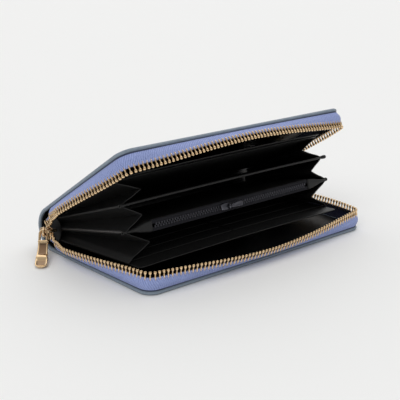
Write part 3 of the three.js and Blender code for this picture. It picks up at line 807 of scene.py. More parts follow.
@dataclass
class CoverWrap:
    """The outer leather and the lining: each one piece from mouth edge to mouth edge."""

    layout: Layout
    corner: float = 9.0
    leather: float = 1.0
    rim: float = 2.0
    lining_inset: float = 2.05
    lining_height: float = 2.25
    softness: float = 0.22
    web_x: float = 88.0

    def bend(self, inset: float) -> Tuple[float, float, Place]:
        """The wrap's path: flat under the wallet, an arc round the spine, flat over it.

        A point at length s and height h is (y, z) + h * (-sin a, cos a), where a is 0 on the lower
        cover, grows evenly along the arc, and is (180 degrees - opening) on the upper cover.

        Args:
            inset: of the path's two ends from the covers' mouth edges.

        Returns:
            Length of one flat part, whole length, and the function that places (x, s, h).
        """
        hinge_y, hinge_z = self.layout.hinge
        back = self.layout.back + 0.3
        radius = hinge_z + (hinge_y - back) * math.tan(self.layout.opening / 2)
        turn = math.pi - self.layout.opening
        flat = self.layout.front - inset + back
        whole = 2 * flat + radius * turn

        def place(x: Array, s: Array, h: Array) -> Array:
            """Points of the wrap."""
            a = np.clip((s - flat) / radius, 0, turn)
            beyond = np.maximum(s - whole + flat, 0)
            y = np.minimum(s, flat) + back - flat + radius * np.sin(a) + beyond * math.cos(turn)
            z = radius * (1 - np.cos(a)) + beyond * math.sin(turn)
            return np.stack(np.broadcast_arrays(x, y - h * np.sin(a), z + h * np.cos(a)), -1)

        return flat, whole, place

    def grid(self, inset: float, insets: Array) -> Tuple[Array, Array, Array, Array, Place]:
        """Grid over the wrap, closer round the spine: x, s, inset, share of the spine, place."""
        flat, whole, place = self.bend(inset)
        radius = insets[-1]
        along = np.concatenate([spread(radius, flat - 4, 5.0), spread(flat - 2, whole - flat + 2, 1.5),
                                spread(whole - flat + 4, whole - radius, 5.0)])
        half = self.layout.half - inset
        across = spread(radius - half, half - radius, 5.0)
        x, s, d = rounded_grid(half, 0.0, whole, insets, across, along)
        spine = smooth(s, flat - 6, flat + 4) * (1 - smooth(s, whole - flat - 4, whole - flat + 6))
        return x, s, d, spine, place

    def outer_leather(self) -> bpy.types.Object:
        """Leather with its edge turned up and in, and rounded over.

        Its outside is at height r - sqrt(r^2 - (r - d)^2) at a distance d under r from the edge,
        its inside at the edge height less the same amount, stepping down past the turned rim.
        """
        r = self.layout.edge / 2
        insets = np.concatenate([r * (1 - np.cos(np.linspace(0, math.pi / 2, 8))),
                                 [self.rim * 0.86, self.rim, self.rim * 1.12, 3.4, 5.5, self.corner]])
        x, s, d, spine, place = self.grid(0.0, insets)
        curve = r - np.sqrt(np.maximum(r**2 - np.maximum(r - d, 0) ** 2, 0))
        step = smooth(d, self.rim * 0.84, self.rim * 1.1)
        puff = self.softness * ripple(x, s, 62.0, 2.0) * smooth(d, 2.0, 14.0)
        upper = smooth(s, s.max() * 0.45, s.max() * 0.6)
        outside = curve - (puff + self.softness * 0.5) * smooth(d, 1.0, 9.0) * upper
        inside = self.layout.edge - curve
        inside = inside + (self.leather - inside) * step
        # Edge attribute: the rim lightens towards the rubbed colour, which also paints a highlight line.
        edge = np.exp(-d / 1.1)
        uv = np.stack([x, s], -1)
        shape = closed_shell(place(x, s, outside), place(x, s, inside), uv, edge)
        piece = build("outer_leather", shape, OUTER)
        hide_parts("lower_cover_leather", "upper_cover_leather", "spine_leather")
        self.layout.blend_spine(piece)
        return piece

    def lining(self) -> bpy.types.Object:
        """Glossy lining inside both covers and round the spine."""
        insets = edge_insets(0.2, 7.0)
        x, s, d, spine, place = self.grid(self.lining_inset, insets)
        middle = self.lining_height + 0.12 * ripple(x, s, 44.0, 5.0) * smooth(d, 1, 10) - 0.2 * spine
        half = 0.2 * np.sqrt(np.clip(1 - np.maximum(1 - d / 0.2, 0) ** 2, 0, 1))
        shape = closed_shell(place(x, s, middle - half), place(x, s, middle + half),
                             np.stack([x, s], -1), np.exp(-d / 1.0))
        piece = build("cover_lining", shape, LINING)
        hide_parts("lower_cover_lining", "upper_cover_lining", "spine_lining")
        self.layout.blend_spine(piece)
        return piece

    def end_web(self, side: Side) -> bpy.types.Object:
        """The lining that closes the spine's end round the turning line.

        Its radius about that line is 9.2 mm, and less towards the spine, which curves past it.
        """
        angle = np.linspace(0, 2 * math.pi, 49)
        share = np.linspace(0.02, 1, 12)
        aa, ss = np.meshgrid(angle[:-1], share, indexing="ij")
        back = smooth(np.cos(aa), 0.0, 0.8)
        radius = ss * (9.2 * (1 - back) + 4.6 * back)
        y = self.layout.hinge[0] + radius * np.cos(aa)
        z = self.layout.hinge[1] + radius * np.sin(aa)
        x = side.value * (self.web_x + 0.25 * ripple(y, z, 9.0, 2.0))
        count = aa.size
        outer = np.stack([x + 0.25, y, z], -1).reshape(-1, 3)
        inner = np.stack([x - 0.25, y, z], -1).reshape(-1, 3)
        index = np.arange(count).reshape(aa.shape)
        turn = np.concatenate([index, index[:1]])
        rim = np.stack([turn[:-1, -1], turn[1:, -1], turn[1:, -1] + count, turn[:-1, -1] + count], -1)
        faces = [grid_faces(turn), grid_faces(turn)[:, ::-1] + count, rim,
                 index[:, 0][None, :], (index[:, 0] + count)[None, ::-1]]
        shape = Shape(np.concatenate([outer, inner]), faces)
        piece = build(f"spine_end_{side.name.lower()}", shape, BLACK)
        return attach(piece, "lower_cover")

    def make(self) -> None:
        """Builds both layers and the spine's ends, and dresses the boards."""
        self.outer_leather()
        self.lining()
        for side in Side:
            self.end_web(side)
        for node in ("lower_cover_board", "upper_cover_board"):
            board = self.layout.frame["nodes"][node]
            board.data.materials.clear()
            board.data.materials.append(BOARD.material())


# ---------------------------------------------------------------- main zip


@dataclass
class MainZip:
    """One side of the main zip: the tape sewn round a cover and its row of teeth.

    The tape stands on a line that runs up one side, round the mouth and down the other. It leans
    outwards by an angle that is greatest in the middle of each stretch and nothing at the corners.
    """

    layout: Layout
    row: Row
    flare_tape: float
    flare_teeth: float
    inset: float = 1.0
    corner: float = 8.0
    width: float = 7.9
    end_width: float = 5.2
    narrow: float = 16.0
    zip_end: float = 37.0
    tail: float = 12.0
    pitch: float = 2.8
    thickness: float = 0.8

    def __post_init__(self) -> None:
        """Works out the lengths of the line's stretches."""
        self.rail_x = self.layout.half - self.inset
        self.rail_y = self.layout.front - self.inset
        self.side_run = self.zip_end + self.rail_y - self.corner
        self.corner_run = self.corner * math.pi / 2
        self.run = 2 * (self.side_run + self.corner_run + self.rail_x - self.corner)
        self.page = self.layout.pages["lower_cover" if self.row is Row.LOWER else "upper_cover"]

    def rail(self, run: Array) -> Tuple[Array, ...]:
        """The line at a run along it: x, y, outward x and y, lean, tape width and root height.

        The tails, before 0 and past the whole run, carry on along the sides towards the spine,
        where the tape is cut down to its cord and climbs to the middle of the wallet.
        """
        mirrored = run > self.run / 2
        s = np.where(mirrored, self.run - run, run)
        side = np.where(mirrored, 1.0, -1.0)
        angle = np.clip((s - self.side_run) / self.corner, 0, math.pi / 2)
        past = np.maximum(s - self.side_run - self.corner_run, 0)
        x = self.rail_x - self.corner + self.corner * np.cos(angle) - past
        y = np.where(s < self.side_run, self.zip_end - s,
                     self.corner - self.rail_y - self.corner * np.sin(angle))
        along = np.clip(s / self.side_run, 0, 1)
        by_side = (1 - along**1.8) * (0.55 + 0.45 * smooth(along, 0, 0.22))
        by_mouth = 1 - np.abs(x / (self.rail_x - self.corner)) ** 1.8
        lean = np.where(s < self.side_run, by_side, np.where(past > 0, by_mouth, 0.0))
        tail = smooth(-s, 0, self.tail)
        width = self.end_width + (self.width - self.end_width) * smooth(s, 0, self.narrow)
        full = width * (1 - tail) + 2.6 * tail
        cut = smooth(-s, -1.0, 4.0)
        width = full * (1 - cut) + 1.0 * cut
        lean = lean * (1 - tail)
        lift = tail * (self.layout.hinge[1] - self.layout.edge - 2.6 - 4.2) + full - width
        return side * x, y, side * np.cos(angle), -np.sin(angle), lean, width, lift

    def points(self, run: Array, height: Array, off: Array) -> Array:
        """Points at a run, a height up the tape and on up the teeth, and off their middle."""
        x, y, nx, ny, lean, width, lift = self.rail(run)
        tape_lean = np.radians(self.flare_tape) * lean
        tooth_lean = np.radians(self.flare_teeth) * lean
        on_tooth = np.maximum(height - self.width, 0)
        on_tape = np.minimum(height, self.width) * width / self.width
        turn = np.where(height > self.width - 0.01, tooth_lean, tape_lean)
        out = on_tape * np.sin(tape_lean) + on_tooth * np.sin(tooth_lean) + off * np.cos(turn)
        up = on_tape * np.cos(tape_lean) + on_tooth * np.cos(tooth_lean) - off * np.sin(turn)
        return self.laid(x + nx * out, y + ny * out, self.layout.edge + 0.2 + lift + up)

    def laid(self, x: Array, y: Array, z: Array) -> Array:
        """Puts a point of the lower cover's zip on this row's own cover, turned over if upper."""
        reach = self.layout.hinge[0] - y
        rise = (z - self.layout.hinge[1]) * -self.row.value
        return self.page.place(x, reach, rise)

    def tape(self) -> bpy.types.Object:
        """The woven tape, with a cord along its toothed edge and soft puckers.

        Its middle is at off = pucker, its faces half a thickness either side, swelling to the
        cord's radius in the last millimetre.
        """
        run = spread(4 - self.tail, self.run + self.tail - 4, 1.6)
        height = np.concatenate([[-0.5, -0.3, 0.1], spread(0.6, self.width - 1.6, 0.8),
                                 self.width - np.array([1.1, 0.8, 0.5, 0.25, 0.05, -0.1])])
        r, h = np.meshgrid(run, height, indexing="ij")
        lean = self.rail(r)[4]
        pucker = 0.28 * ripple(r, h, 23.0, 1.0 + self.row.value) * smooth(h, 0.3, 3) * smooth(-h, -7, -5)
        pucker = pucker + (1.3 - 1.0 * lean) * np.sin(math.pi * np.clip(h / self.width, 0, 1)) ** 1.5
        half = self.thickness / 2 + 0.38 * np.exp(-((h - self.width + 0.55) / 0.45) ** 2)
        border = np.minimum(np.minimum(h - height[0], height[-1] - h), np.minimum(r - run[0], run[-1] - r))
        half = half * np.sqrt(np.clip(border / 0.3, 0, 1))
        top = self.points(r, h, pucker + half)
        bottom = self.points(r, h, pucker - half)
        shape = closed_shell(top, bottom, np.stack([r, h], -1), np.zeros(r.shape))
        # The second face gets edge 1, which paints the tape's inner shade on it.
        shape.edge[r.size:] = 1.0
        name = self.row.name.lower()
        piece = build(f"{name}_tape", shape, BLUE_TAPE)
        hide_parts(f"{name}_zip_tape")
        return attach(piece, self.page.body)

    def teeth(self) -> bpy.types.Object:
        """A tooth at each pitch: legs clamped on the tape's cord, a neck and a rounded head."""
        start = -self.tail
        count = int((self.run + 2 * self.tail) / self.pitch)
        runs = start + (self.run + 2 * self.tail - count * self.pitch) / 2 + self.pitch * np.arange(count + 1)
        rings = np.array([(-1.5, 0.32, 0.72), (-1.25, 0.5, 0.95), (0.35, 0.54, 0.98), (0.95, 0.38, 0.72),
                          (1.9, 0.4, 0.66), (2.3, 0.84, 0.84), (3.3, 0.88, 0.84), (3.85, 0.55, 0.56)])
        angle = np.linspace(0, 2 * math.pi, 8, endpoint=False) + math.pi / 8
        square = (np.abs(np.cos(angle)) ** 4 + np.abs(np.sin(angle)) ** 4) ** -0.25
        du = (np.cos(angle) * square)[None] * rings[:, 1, None]
        do = (np.sin(angle) * square)[None] * rings[:, 2, None]
        height = np.broadcast_to(rings[:, 0, None], du.shape)
        centre = self.points(runs, np.full(runs.shape, self.width), np.zeros(runs.shape))
        above = self.points(runs, np.full(runs.shape, self.width + 1.0), np.zeros(runs.shape))
        ahead = self.points(runs + 0.4, np.full(runs.shape, self.width), np.zeros(runs.shape))
        up = above - centre
        up /= np.linalg.norm(up, axis=1, keepdims=True)
        along = ahead - centre
        along -= up * np.einsum("ij,ij->i", along, up)[:, None]
        along /= np.linalg.norm(along, axis=1, keepdims=True)
        out = np.cross(along, up)
        local = np.stack([du, height, do], -1).reshape(-1, 3)
        axes = np.stack([along, up, out], 1)
        points = centre[:, None] + np.einsum("pk,tkc->tpc", local, axes)
        index = np.arange(local.shape[0]).reshape(len(rings), 8)
        step = (np.arange(len(runs)) * local.shape[0])[:, None, None]
        faces = [(f[None] + step).reshape(-1, f.shape[1])
                 for f in (grid_faces(index, wrap=True), index[:1, ::-1], index[-1:])]
        name = self.row.name.lower()
        # Legs get 0.8 on the edge attribute and so a little painted dark reflection; heads get none.
        edge = np.tile(np.repeat(np.where(rings[:, 0] > 2, 1.0, 0.8), 8), len(runs))
        piece = build(f"{name}_teeth", Shape(points.reshape(-1, 3), faces, None, edge), GOLD)
        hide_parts(f"{name}_zip_teeth")
        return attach(piece, self.page.body)

    def make(self) -> None:
        """Builds the tape and its teeth."""
        self.tape()
        self.teeth()


# ---------------------------------------------------------------- sheets of the fan


@dataclass
class FanSheet:
    """A leather sheet of the fan, taking its size from its CAD node.

    Its middle is at the node's middle height plus a bow, and its faces stand half a thickness
    either side, rounding off to nothing along the outline.
    """

    layout: Layout
    node: str
    body: str
    corner: float = 2.5
    root: float = 3.0
    crown: float = 0.0
    waviness: float = 0.15
    seed: float = 1.0
    finish: Finish = field(default=BLACK)

    def bow(self, x: Array, reach: Array) -> Array:
        """Height of the sheet's middle above flat, growing from the spine to its front edge."""
        out = smooth(reach, 20, 75)
        return out * (self.crown * np.cos(x / 86 * math.pi / 2)
                      + self.waviness * ripple(x, reach, 70.0, self.seed))

    def make(self) -> bpy.types.Object:
        """Builds the sheet."""
        page = self.layout.pages[self.body]
        low, high = page.extent(self.node)
        half_x, middle = (high[0] - low[0]) / 2, (high[0] + low[0]) / 2
        thick = (high[2] - low[2]) / 2
        rise = (high[2] + low[2]) / 2
        low[1] = min(low[1], max(self.root, low[1] - 9))
        insets = edge_insets(thick, self.corner)
        across = spread(self.corner - half_x, half_x - self.corner, 4.0)
        along = spread(low[1] + self.corner, high[1] - self.corner, 4.0)
        x, reach, d = rounded_grid(half_x, low[1], high[1], insets, across, along)
        x = x + middle
        half = thick * np.sqrt(np.clip(1 - np.maximum(1 - d / thick, 0) ** 2, 0, 1))
        level = rise + self.bow(x, reach)
        # Edge attribute: the outline lightens towards the rubbed colour, which paints the highlight along card-slot
        # and sheet edges.
        shape = closed_shell(page.place(x, reach, level + half), page.place(x, reach, level - half),
                             np.stack([x, reach], -1), np.exp(-d / 0.7))
        piece = build(self.node + "_sheet", shape, self.finish)
        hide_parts(self.node)
        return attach(piece, self.body)


@dataclass
class SideEdge:
    """The side edges of a sheet: a light grey bead along each, rubbed and carrying a painted highlight, ending in a
    small rolled knot.

    Attributes:
        page: the sheet's page.
        half_x: from the middle to the sheet's side edges.
        front: reach of the knots.
        rise: height of the sheet's middle.
    """

    page: Page
    half_x: float
    front: float
    rise: float
    bead: float = 0.5

    def knot(self, side: Side) -> Shape:
        """A short roll of leather, open like an eye at its outer end.

        It is a profile of (distance along X, radius) turned round the X direction.
        """
        profile = np.array([(-1.6, 0.05), (-1.5, 0.8), (-0.8, 1.25), (0.6, 1.4), (1.9, 1.5), (2.5, 1.45),
                            (2.8, 1.2), (2.75, 0.95), (2.4, 0.75), (1.6, 0.65), (1.3, 0.4), (1.25, 0.05)])
        angle = np.linspace(0, 2 * math.pi, 20, endpoint=False)
        x = side.value * (self.half_x + profile[:, 0])[:, None]
        reach = self.front + profile[:, 1, None] * np.cos(angle)[None]
        rise = self.rise + 0.86 * profile[:, 1, None] * np.sin(angle)[None]
        points = self.page.place(*np.broadcast_arrays(x, reach, rise)).reshape(-1, 3)
        index = np.arange(len(points)).reshape(len(profile), -1)
        # Edge attribute: the eye's outer lip lightens, rubbed and with a painted highlight.
        edge = np.repeat(smooth(profile[:, 0], 1.9, 2.7) * smooth(profile[:, 1], 0.7, 1.0), 20)
        return Shape(points, [grid_faces(index, wrap=True), index[:1, ::-1], index[-1:]], None, edge)

    def make_beads(self, body: str) -> None:
        """A bead along each side edge, thinner towards the spine."""
        reach = spread(8.0, self.front - 1.5, 3.0)
        radius = self.bead * (0.55 + 0.45 * smooth(reach, 15, 60))
        for side in Side:
            x = np.full(reach.shape, side.value * (self.half_x + 0.35))
            path = self.page.place(x, reach, np.full(reach.shape, self.rise))
            piece = build(f"{body}_bead_{side.name.lower()}", tube(path, radius, (0, 0, 1), 8), BEAD)
            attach(piece, body)


@dataclass
class CardSide:
    """The card panel and its two columns of stepped slots."""

    layout: Layout
    tiers: int = 3

    def make(self) -> None:
        """Builds the panel and every slot."""
        FanSheet(self.layout, "card_panel", "card_side", crown=0.9, seed=3.0).make()
        for tier in range(1, self.tiers + 1):
            for side in Side:
                node = f"card_slot_{side.name.lower()}_{tier}"
                FanSheet(self.layout, node, "card_side", corner=1.2, crown=0.9, seed=3.0).make()


@dataclass
class Divider:
    """The divider sheet and the rolled binding along its front edge, with a knot at each end."""

    layout: Layout
    roll: float = 0.85

    def make(self) -> None:
        """Builds the sheet, the binding along its front edge, its knots and its side beads."""
        FanSheet(self.layout, "divider_sheet", "divider", crown=0.5, seed=7.0).make()
        page = self.layout.pages["divider"]
        low, high = page.extent("divider_binding")
        x = np.concatenate([spread(low[0] + 1.2, low[0] + 6, 0.6), spread(low[0] + 9, high[0] - 9, 4.0),
                            spread(high[0] - 6, high[0] - 1.2, 0.6)])
        reach = np.full(x.shape, (low[1] + high[1]) / 2)
        bow = 0.5 * np.cos(x / 86 * math.pi / 2) + 0.15 * ripple(x, reach, 70.0, 7.0)
        path = page.place(x, reach, (low[2] + high[2]) / 2 + bow)
        edge = SideEdge(page, high[0] - 2.2, float(reach[0]), (low[2] + high[2]) / 2)
        roll = tube(path, self.roll, (0, 0, 1), 12, flat=0.85)
        piece = build("divider_binding_roll", joined([roll, *(edge.knot(side) for side in Side)]), BLACK)
        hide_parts("divider_binding")
        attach(piece, "divider")
        edge.make_beads("divider")


@dataclass
class SlipSide:
    """The upper slip panel and the pocket layer under it."""

    layout: Layout

    def make(self) -> None:
        """Builds both layers."""
        FanSheet(self.layout, "slip_panel", "slip_side", crown=0.6, seed=11.0).make()
        FanSheet(self.layout, "slip_pocket", "slip_side", crown=0.35, seed=11.0).make()


# ---------------------------------------------------------------- coin pocket


@dataclass
class CoinPocket:
    """The pocket's two walls, its end tabs, and its own zip, slider and pull."""

    layout: Layout
    tooth_pitch: float = 2.1

    def __post_init__(self) -> None:
        """Reads the pocket's box."""
        self.page = self.layout.pages["coin_pocket"]
        self.low, self.high = self.page.extent("coin_pocket_upper_wall")
        self.low[1] = 3.0
        lower, _ = self.page.extent("coin_pocket_lower_wall")
        self.rise = (self.high[2] + lower[2]) / 2
        self.mouth = self.high[2] - self.rise
        self.half_x = self.high[0]
        self.zip_half = self.page.extent("coin_zip_teeth_upper")[1][0]
        self.band = self.page.extent("coin_zip_teeth_upper")

    def half_height(self, x: Array, reach: Array) -> Array:
        """Half the pocket's height: flat at the side seams and spine, full along the zip."""
        across = smooth(self.half_x - np.abs(x), 0, self.half_x - self.zip_half)
        along = np.clip((reach - self.low[1]) / (self.high[1] - self.low[1]), 0, 1)
        return 0.75 + (self.mouth - 0.75) * across * along

    def wall(self, row: Row) -> bpy.types.Object:
        """One wall: its outside follows the pocket's half height, softly dented."""
        insets = edge_insets(0.3, 2.0)
        across = spread(2 - self.half_x, self.half_x - 2, 3.0)
        along = spread(self.low[1] + 2, self.high[1] - 2, 3.5)
        x, reach, d = rounded_grid(self.half_x, self.low[1], self.high[1], insets, across, along)
        dent = 0.22 * ripple(x, reach, 31.0, 4.0 + row.value) * smooth(d, 1, 12)
        level = self.half_height(x, reach) - 0.35 + dent
        half = 0.35 * np.sqrt(np.clip(1 - np.maximum(1 - d / 0.35, 0) ** 2, 0, 1))
        outer = self.page.place(x, reach, self.rise + row.value * (level + half))
        inner = self.page.place(x, reach, self.rise + row.value * (level - half))
        name = row.name.lower()
        shape = closed_shell(outer, inner, np.stack([x, reach], -1), np.exp(-d / 0.8))
        piece = build(f"coin_wall_{name}", shape, BLACK)
        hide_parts(f"coin_pocket_{name}_wall")
        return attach(piece, "coin_pocket")

    def tab(self, side: Side) -> bpy.types.Object:
        """The leather tab that closes the mouth beside the zip, tapering to the side seam.

        Its face bulges out by a quarter millimetre times (1 - v^2) over its height.
        """
        node = f"coin_zip_tab_{side.name.lower()}"
        low, high = self.page.extent(node)
        x = spread(low[0] - 0.2, high[0] + 0.6, 1.0)
        v = np.linspace(-1, 1, 13)
        xx, vv = np.meshgrid(x, v, indexing="ij")
        tall = self.half_height(xx, np.full(xx.shape, self.high[1])) + 0.12
        d = np.minimum(np.minimum(xx - x[0], x[-1] - xx), (1 - np.abs(vv)) * tall)
        half = 0.8 * np.sqrt(np.clip(1 - np.maximum(1 - d / 0.8, 0) ** 2, 0, 1))
        middle = (low[1] + high[1]) / 2 + 0.25 * (1 - vv**2)
        rise = self.rise + vv * tall
        shape = closed_shell(self.page.place(xx, middle + half, rise), self.page.place(xx, middle - half, rise),
                             np.stack([xx, rise], -1), np.exp(-d / 0.5))
        piece = build(f"coin_tab_{side.name.lower()}", shape, BLACK)
        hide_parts(node)
        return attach(piece, "coin_pocket")

    def strip(self, row: Row) -> bpy.types.Object:
        """One woven tape of the coin zip."""
        node = f"coin_zip_tape_{row.name.lower()}"
        low, high = self.page.extent(node)
        insets = edge_insets(0.3, 0.5)
        half_x = high[0] + 0.4
        tall_low, tall_high = sorted((low[2] - 0.35, high[2] + 0.35))
        x, rise, d = rounded_grid(half_x, tall_low, tall_high, insets, spread(0.5 - half_x, half_x - 0.5, 3.0),
                                  spread(tall_low + 0.5, tall_high - 0.5, 0.5))
        middle = (low[1] + high[1]) / 2 + 0.08 * ripple(x, rise, 19.0, 2.0)
        half = 0.32 * np.sqrt(np.clip(1 - np.maximum(1 - d / 0.3, 0) ** 2, 0, 1))
        shape = closed_shell(self.page.place(x, middle + half, rise), self.page.place(x, middle - half, rise),
                             np.stack([x, rise - tall_low + 1], -1), np.exp(-d / 0.4))
        piece = build(f"coin_tape_{row.name.lower()}", shape, BLACK_TAPE)
        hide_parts(node)
        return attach(piece, "coin_pocket")

    def teeth(self, row: Row) -> bpy.types.Object:
        """One row of small teeth, half a pitch out of step with the other row."""
        name = row.name.lower()
        low, high = self.page.extent(f"coin_zip_teeth_{name}")
        shift = self.tooth_pitch * (0.25 * row.value)
        count = int((high[0] - low[0] - 2) / self.tooth_pitch)
        centre = (np.arange(count) - (count - 1) / 2) * self.tooth_pitch + shift
        rings = np.array([(-0.1, 0.5, 0.55), (0.1, 0.72, 0.78), (0.75, 0.7, 0.78), (1.0, 0.5, 0.62),
                          (1.35, 0.68, 0.74), (1.7, 0.5, 0.5)])
        angle = np.linspace(0, 2 * math.pi, 8, endpoint=False) + math.pi / 8
        square = (np.abs(np.cos(angle)) ** 4 + np.abs(np.sin(angle)) ** 4) ** -0.25
        outside = high[2] if row is Row.UPPER else low[2]
        x = centre[:, None, None] + (np.cos(angle) * square)[None, None] * rings[None, :, 1, None]
        reach = (low[1] + high[1]) / 2 + (np.sin(angle) * square)[None, None] * rings[None, :, 2, None]
        rise = outside + row.value * (0.3 - rings[None, :, 0, None])
        points = self.page.place(*np.broadcast_arrays(x, reach, rise))
        index = np.arange(len(rings) * 8).reshape(len(rings), 8)
        step = (np.arange(count) * index.size)[:, None, None]
        faces = [(f[None] + step).reshape(-1, f.shape[1])
                 for f in (grid_faces(index, wrap=True), index[:1, ::-1], index[-1:])]
        piece = build(f"coin_teeth_{name}", Shape(points.reshape(-1, 3), faces), BLACK_METAL)
        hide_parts(f"coin_zip_teeth_{name}")
        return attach(piece, "coin_pocket")

    def slider(self) -> bpy.types.Object:
        """The slider: a shield-shaped plate before and behind the teeth, a post, lugs and a pin.

        A plate is half as wide as 3.6 (1 - 0.45 u^2) along its length u, rounded on its outline.
        """
        low, high = self.page.extent("coin_zip_slider")
        mid_x = (low[0] + high[0]) / 2
        u = np.concatenate([[-1, -0.985, -0.94, -0.86], np.linspace(-0.75, 0.75, 9), [0.86, 0.94, 0.985, 1]])
        uu, vv = np.meshgrid(u, u, indexing="ij")

        def plate(middle: float, thick: float, crown: float) -> Shape:
            """One plate, its middle at a reach."""
            x = mid_x + uu * 3.7
            rise = self.rise + vv * 2.25 * (1 - 0.32 * np.abs(uu) ** 3)
            round_off = np.sqrt(np.clip(1 - np.maximum(np.abs(uu), np.abs(vv)) ** 12, 0, 1))
            swell = crown * (1 - uu**2) * (1 - vv**2)
            # Edge attribute: the rims stay bright and the middle takes the painted dark reflection.
            return closed_shell(self.page.place(x, middle + thick * round_off + swell, rise),
                                self.page.place(x, middle - thick * round_off, rise),
                                np.stack([x, rise], -1), np.maximum(np.abs(uu), np.abs(vv)) ** 6)

        front = self.band[1][1] + 0.6
        back = self.band[0][1] - 0.3
        pin_x = self.pin_x()
        lugs = [tube(self.page.place(np.full(4, pin_x), np.array([front, front + 1.0, front + 1.9, front + 2.3]),
                                     np.full(4, self.rise + z)), np.array([0.8, 0.8, 0.7, 0.5]), (1, 0, 0), 8, 0.5)
                for z in (-1.35, 1.35)]
        pin = tube(self.page.place(np.full(2, pin_x), np.full(2, self.pin_reach()),
                                   np.array([self.rise - 1.3, self.rise + 1.3])), 0.42, (1, 0, 0), 8)
        post = tube(self.page.place(np.full(2, mid_x), np.array([back - 0.4, front + 0.3]),
                                    np.full(2, self.rise)), 0.9, (1, 0, 0), 8, 0.2)
        shape = joined([plate(front + 0.45, 0.45, 0.25), plate(back - 0.4, 0.4, 0.0), post, pin, *lugs])
        piece = build("coin_slider_body", shape, BLACK_METAL)
        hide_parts("coin_zip_slider")
        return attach(piece, "coin_slider")

    def pin_x(self) -> float:
        """Where the pull's pin stands along the zip."""
        return self.layout.joints["coin_pull_swing"]["pos_m"][0] / MM

    def pin_reach(self) -> float:
        """How far out the pull's pin stands."""
        _, y, z = (v / MM for v in self.layout.joints["coin_pull_swing"]["pos_m"])
        c, s = math.cos(self.page.turn), math.sin(self.page.turn)
        return -(y - self.page.hinge[0]) * c + (z - self.page.hinge[1]) * s

    def pull(self) -> bpy.types.Object:
        """The pull: an eye round the pin and a long drop-shaped strap with a sunk face.

        The strap is half as wide as 1.15 + 0.75 u, closing in a half circle at its end, and its
        thickness falls by a third in the middle.
        """
        low, high = self.page.extent("coin_zip_pull")
        pin_x, reach = self.pin_x(), self.pin_reach()
        angle = np.linspace(0, 2 * math.pi, 25)
        eye = tube(self.page.place(pin_x + 1.0 * np.cos(angle), reach + 1.0 * np.sin(angle),
                                   np.full(25, self.rise)), 0.3, (0, 0, 1), 8, 1.9)
        length = high[0] - pin_x - 0.9
        u = 1 - np.cos(np.linspace(0, math.pi, 31))
        u = np.concatenate([[0], u[1:-1] / 2, [1]])
        v = np.sin(np.linspace(-math.pi / 2, math.pi / 2, 13))
        uu, vv = np.meshgrid(u, v, indexing="ij")
        wide = (1.15 + 0.75 * uu) * np.sqrt(np.clip(1 - np.maximum((uu - 0.8) / 0.2, 0) ** 2, 0, 1))
        wide = wide * np.sqrt(np.clip(uu / 0.04, 0, 1))
        round_off = np.sqrt(np.clip(1 - np.abs(vv) ** 6, 0, 1)) * np.sqrt(np.clip(np.minimum(uu, 1 - uu) / 0.04, 0, 1))
        sunk = 1 - 0.35 * smooth(uu, 0.25, 0.4) * (1 - smooth(uu, 0.75, 0.9)) * (1 - smooth(np.abs(vv), 0.3, 0.6))
        x = pin_x + 0.9 + uu * length
        half = 0.5 * round_off * sunk
        rise = self.rise + vv * wide
        # Edge attribute: the strap's middle takes the painted dark reflection, its rims stay bright.
        strap = closed_shell(self.page.place(x, reach + half, rise), self.page.place(x, reach - half, rise),
                             np.stack([x, rise], -1), np.abs(vv) ** 4)
        piece = build("coin_pull_strap", joined([eye, strap]), BLACK_METAL)
        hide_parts("coin_zip_pull")
        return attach(piece, "coin_pull")

    def make(self) -> None:
        """Builds the pocket and its zip."""
        for row in Row:
            self.wall(row)
            self.strip(row)
            self.teeth(row)
        edge = SideEdge(self.page, self.half_x, self.high[1], self.rise)
        for side in Side:
            self.tab(side)
            knot = build(f"coin_knot_{side.name.lower()}", edge.knot(side), BLACK)
            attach(knot, "coin_pocket")
        edge.make_beads("coin_pocket")
        self.slider()
        self.pull()


# ---------------------------------------------------------------- gussets


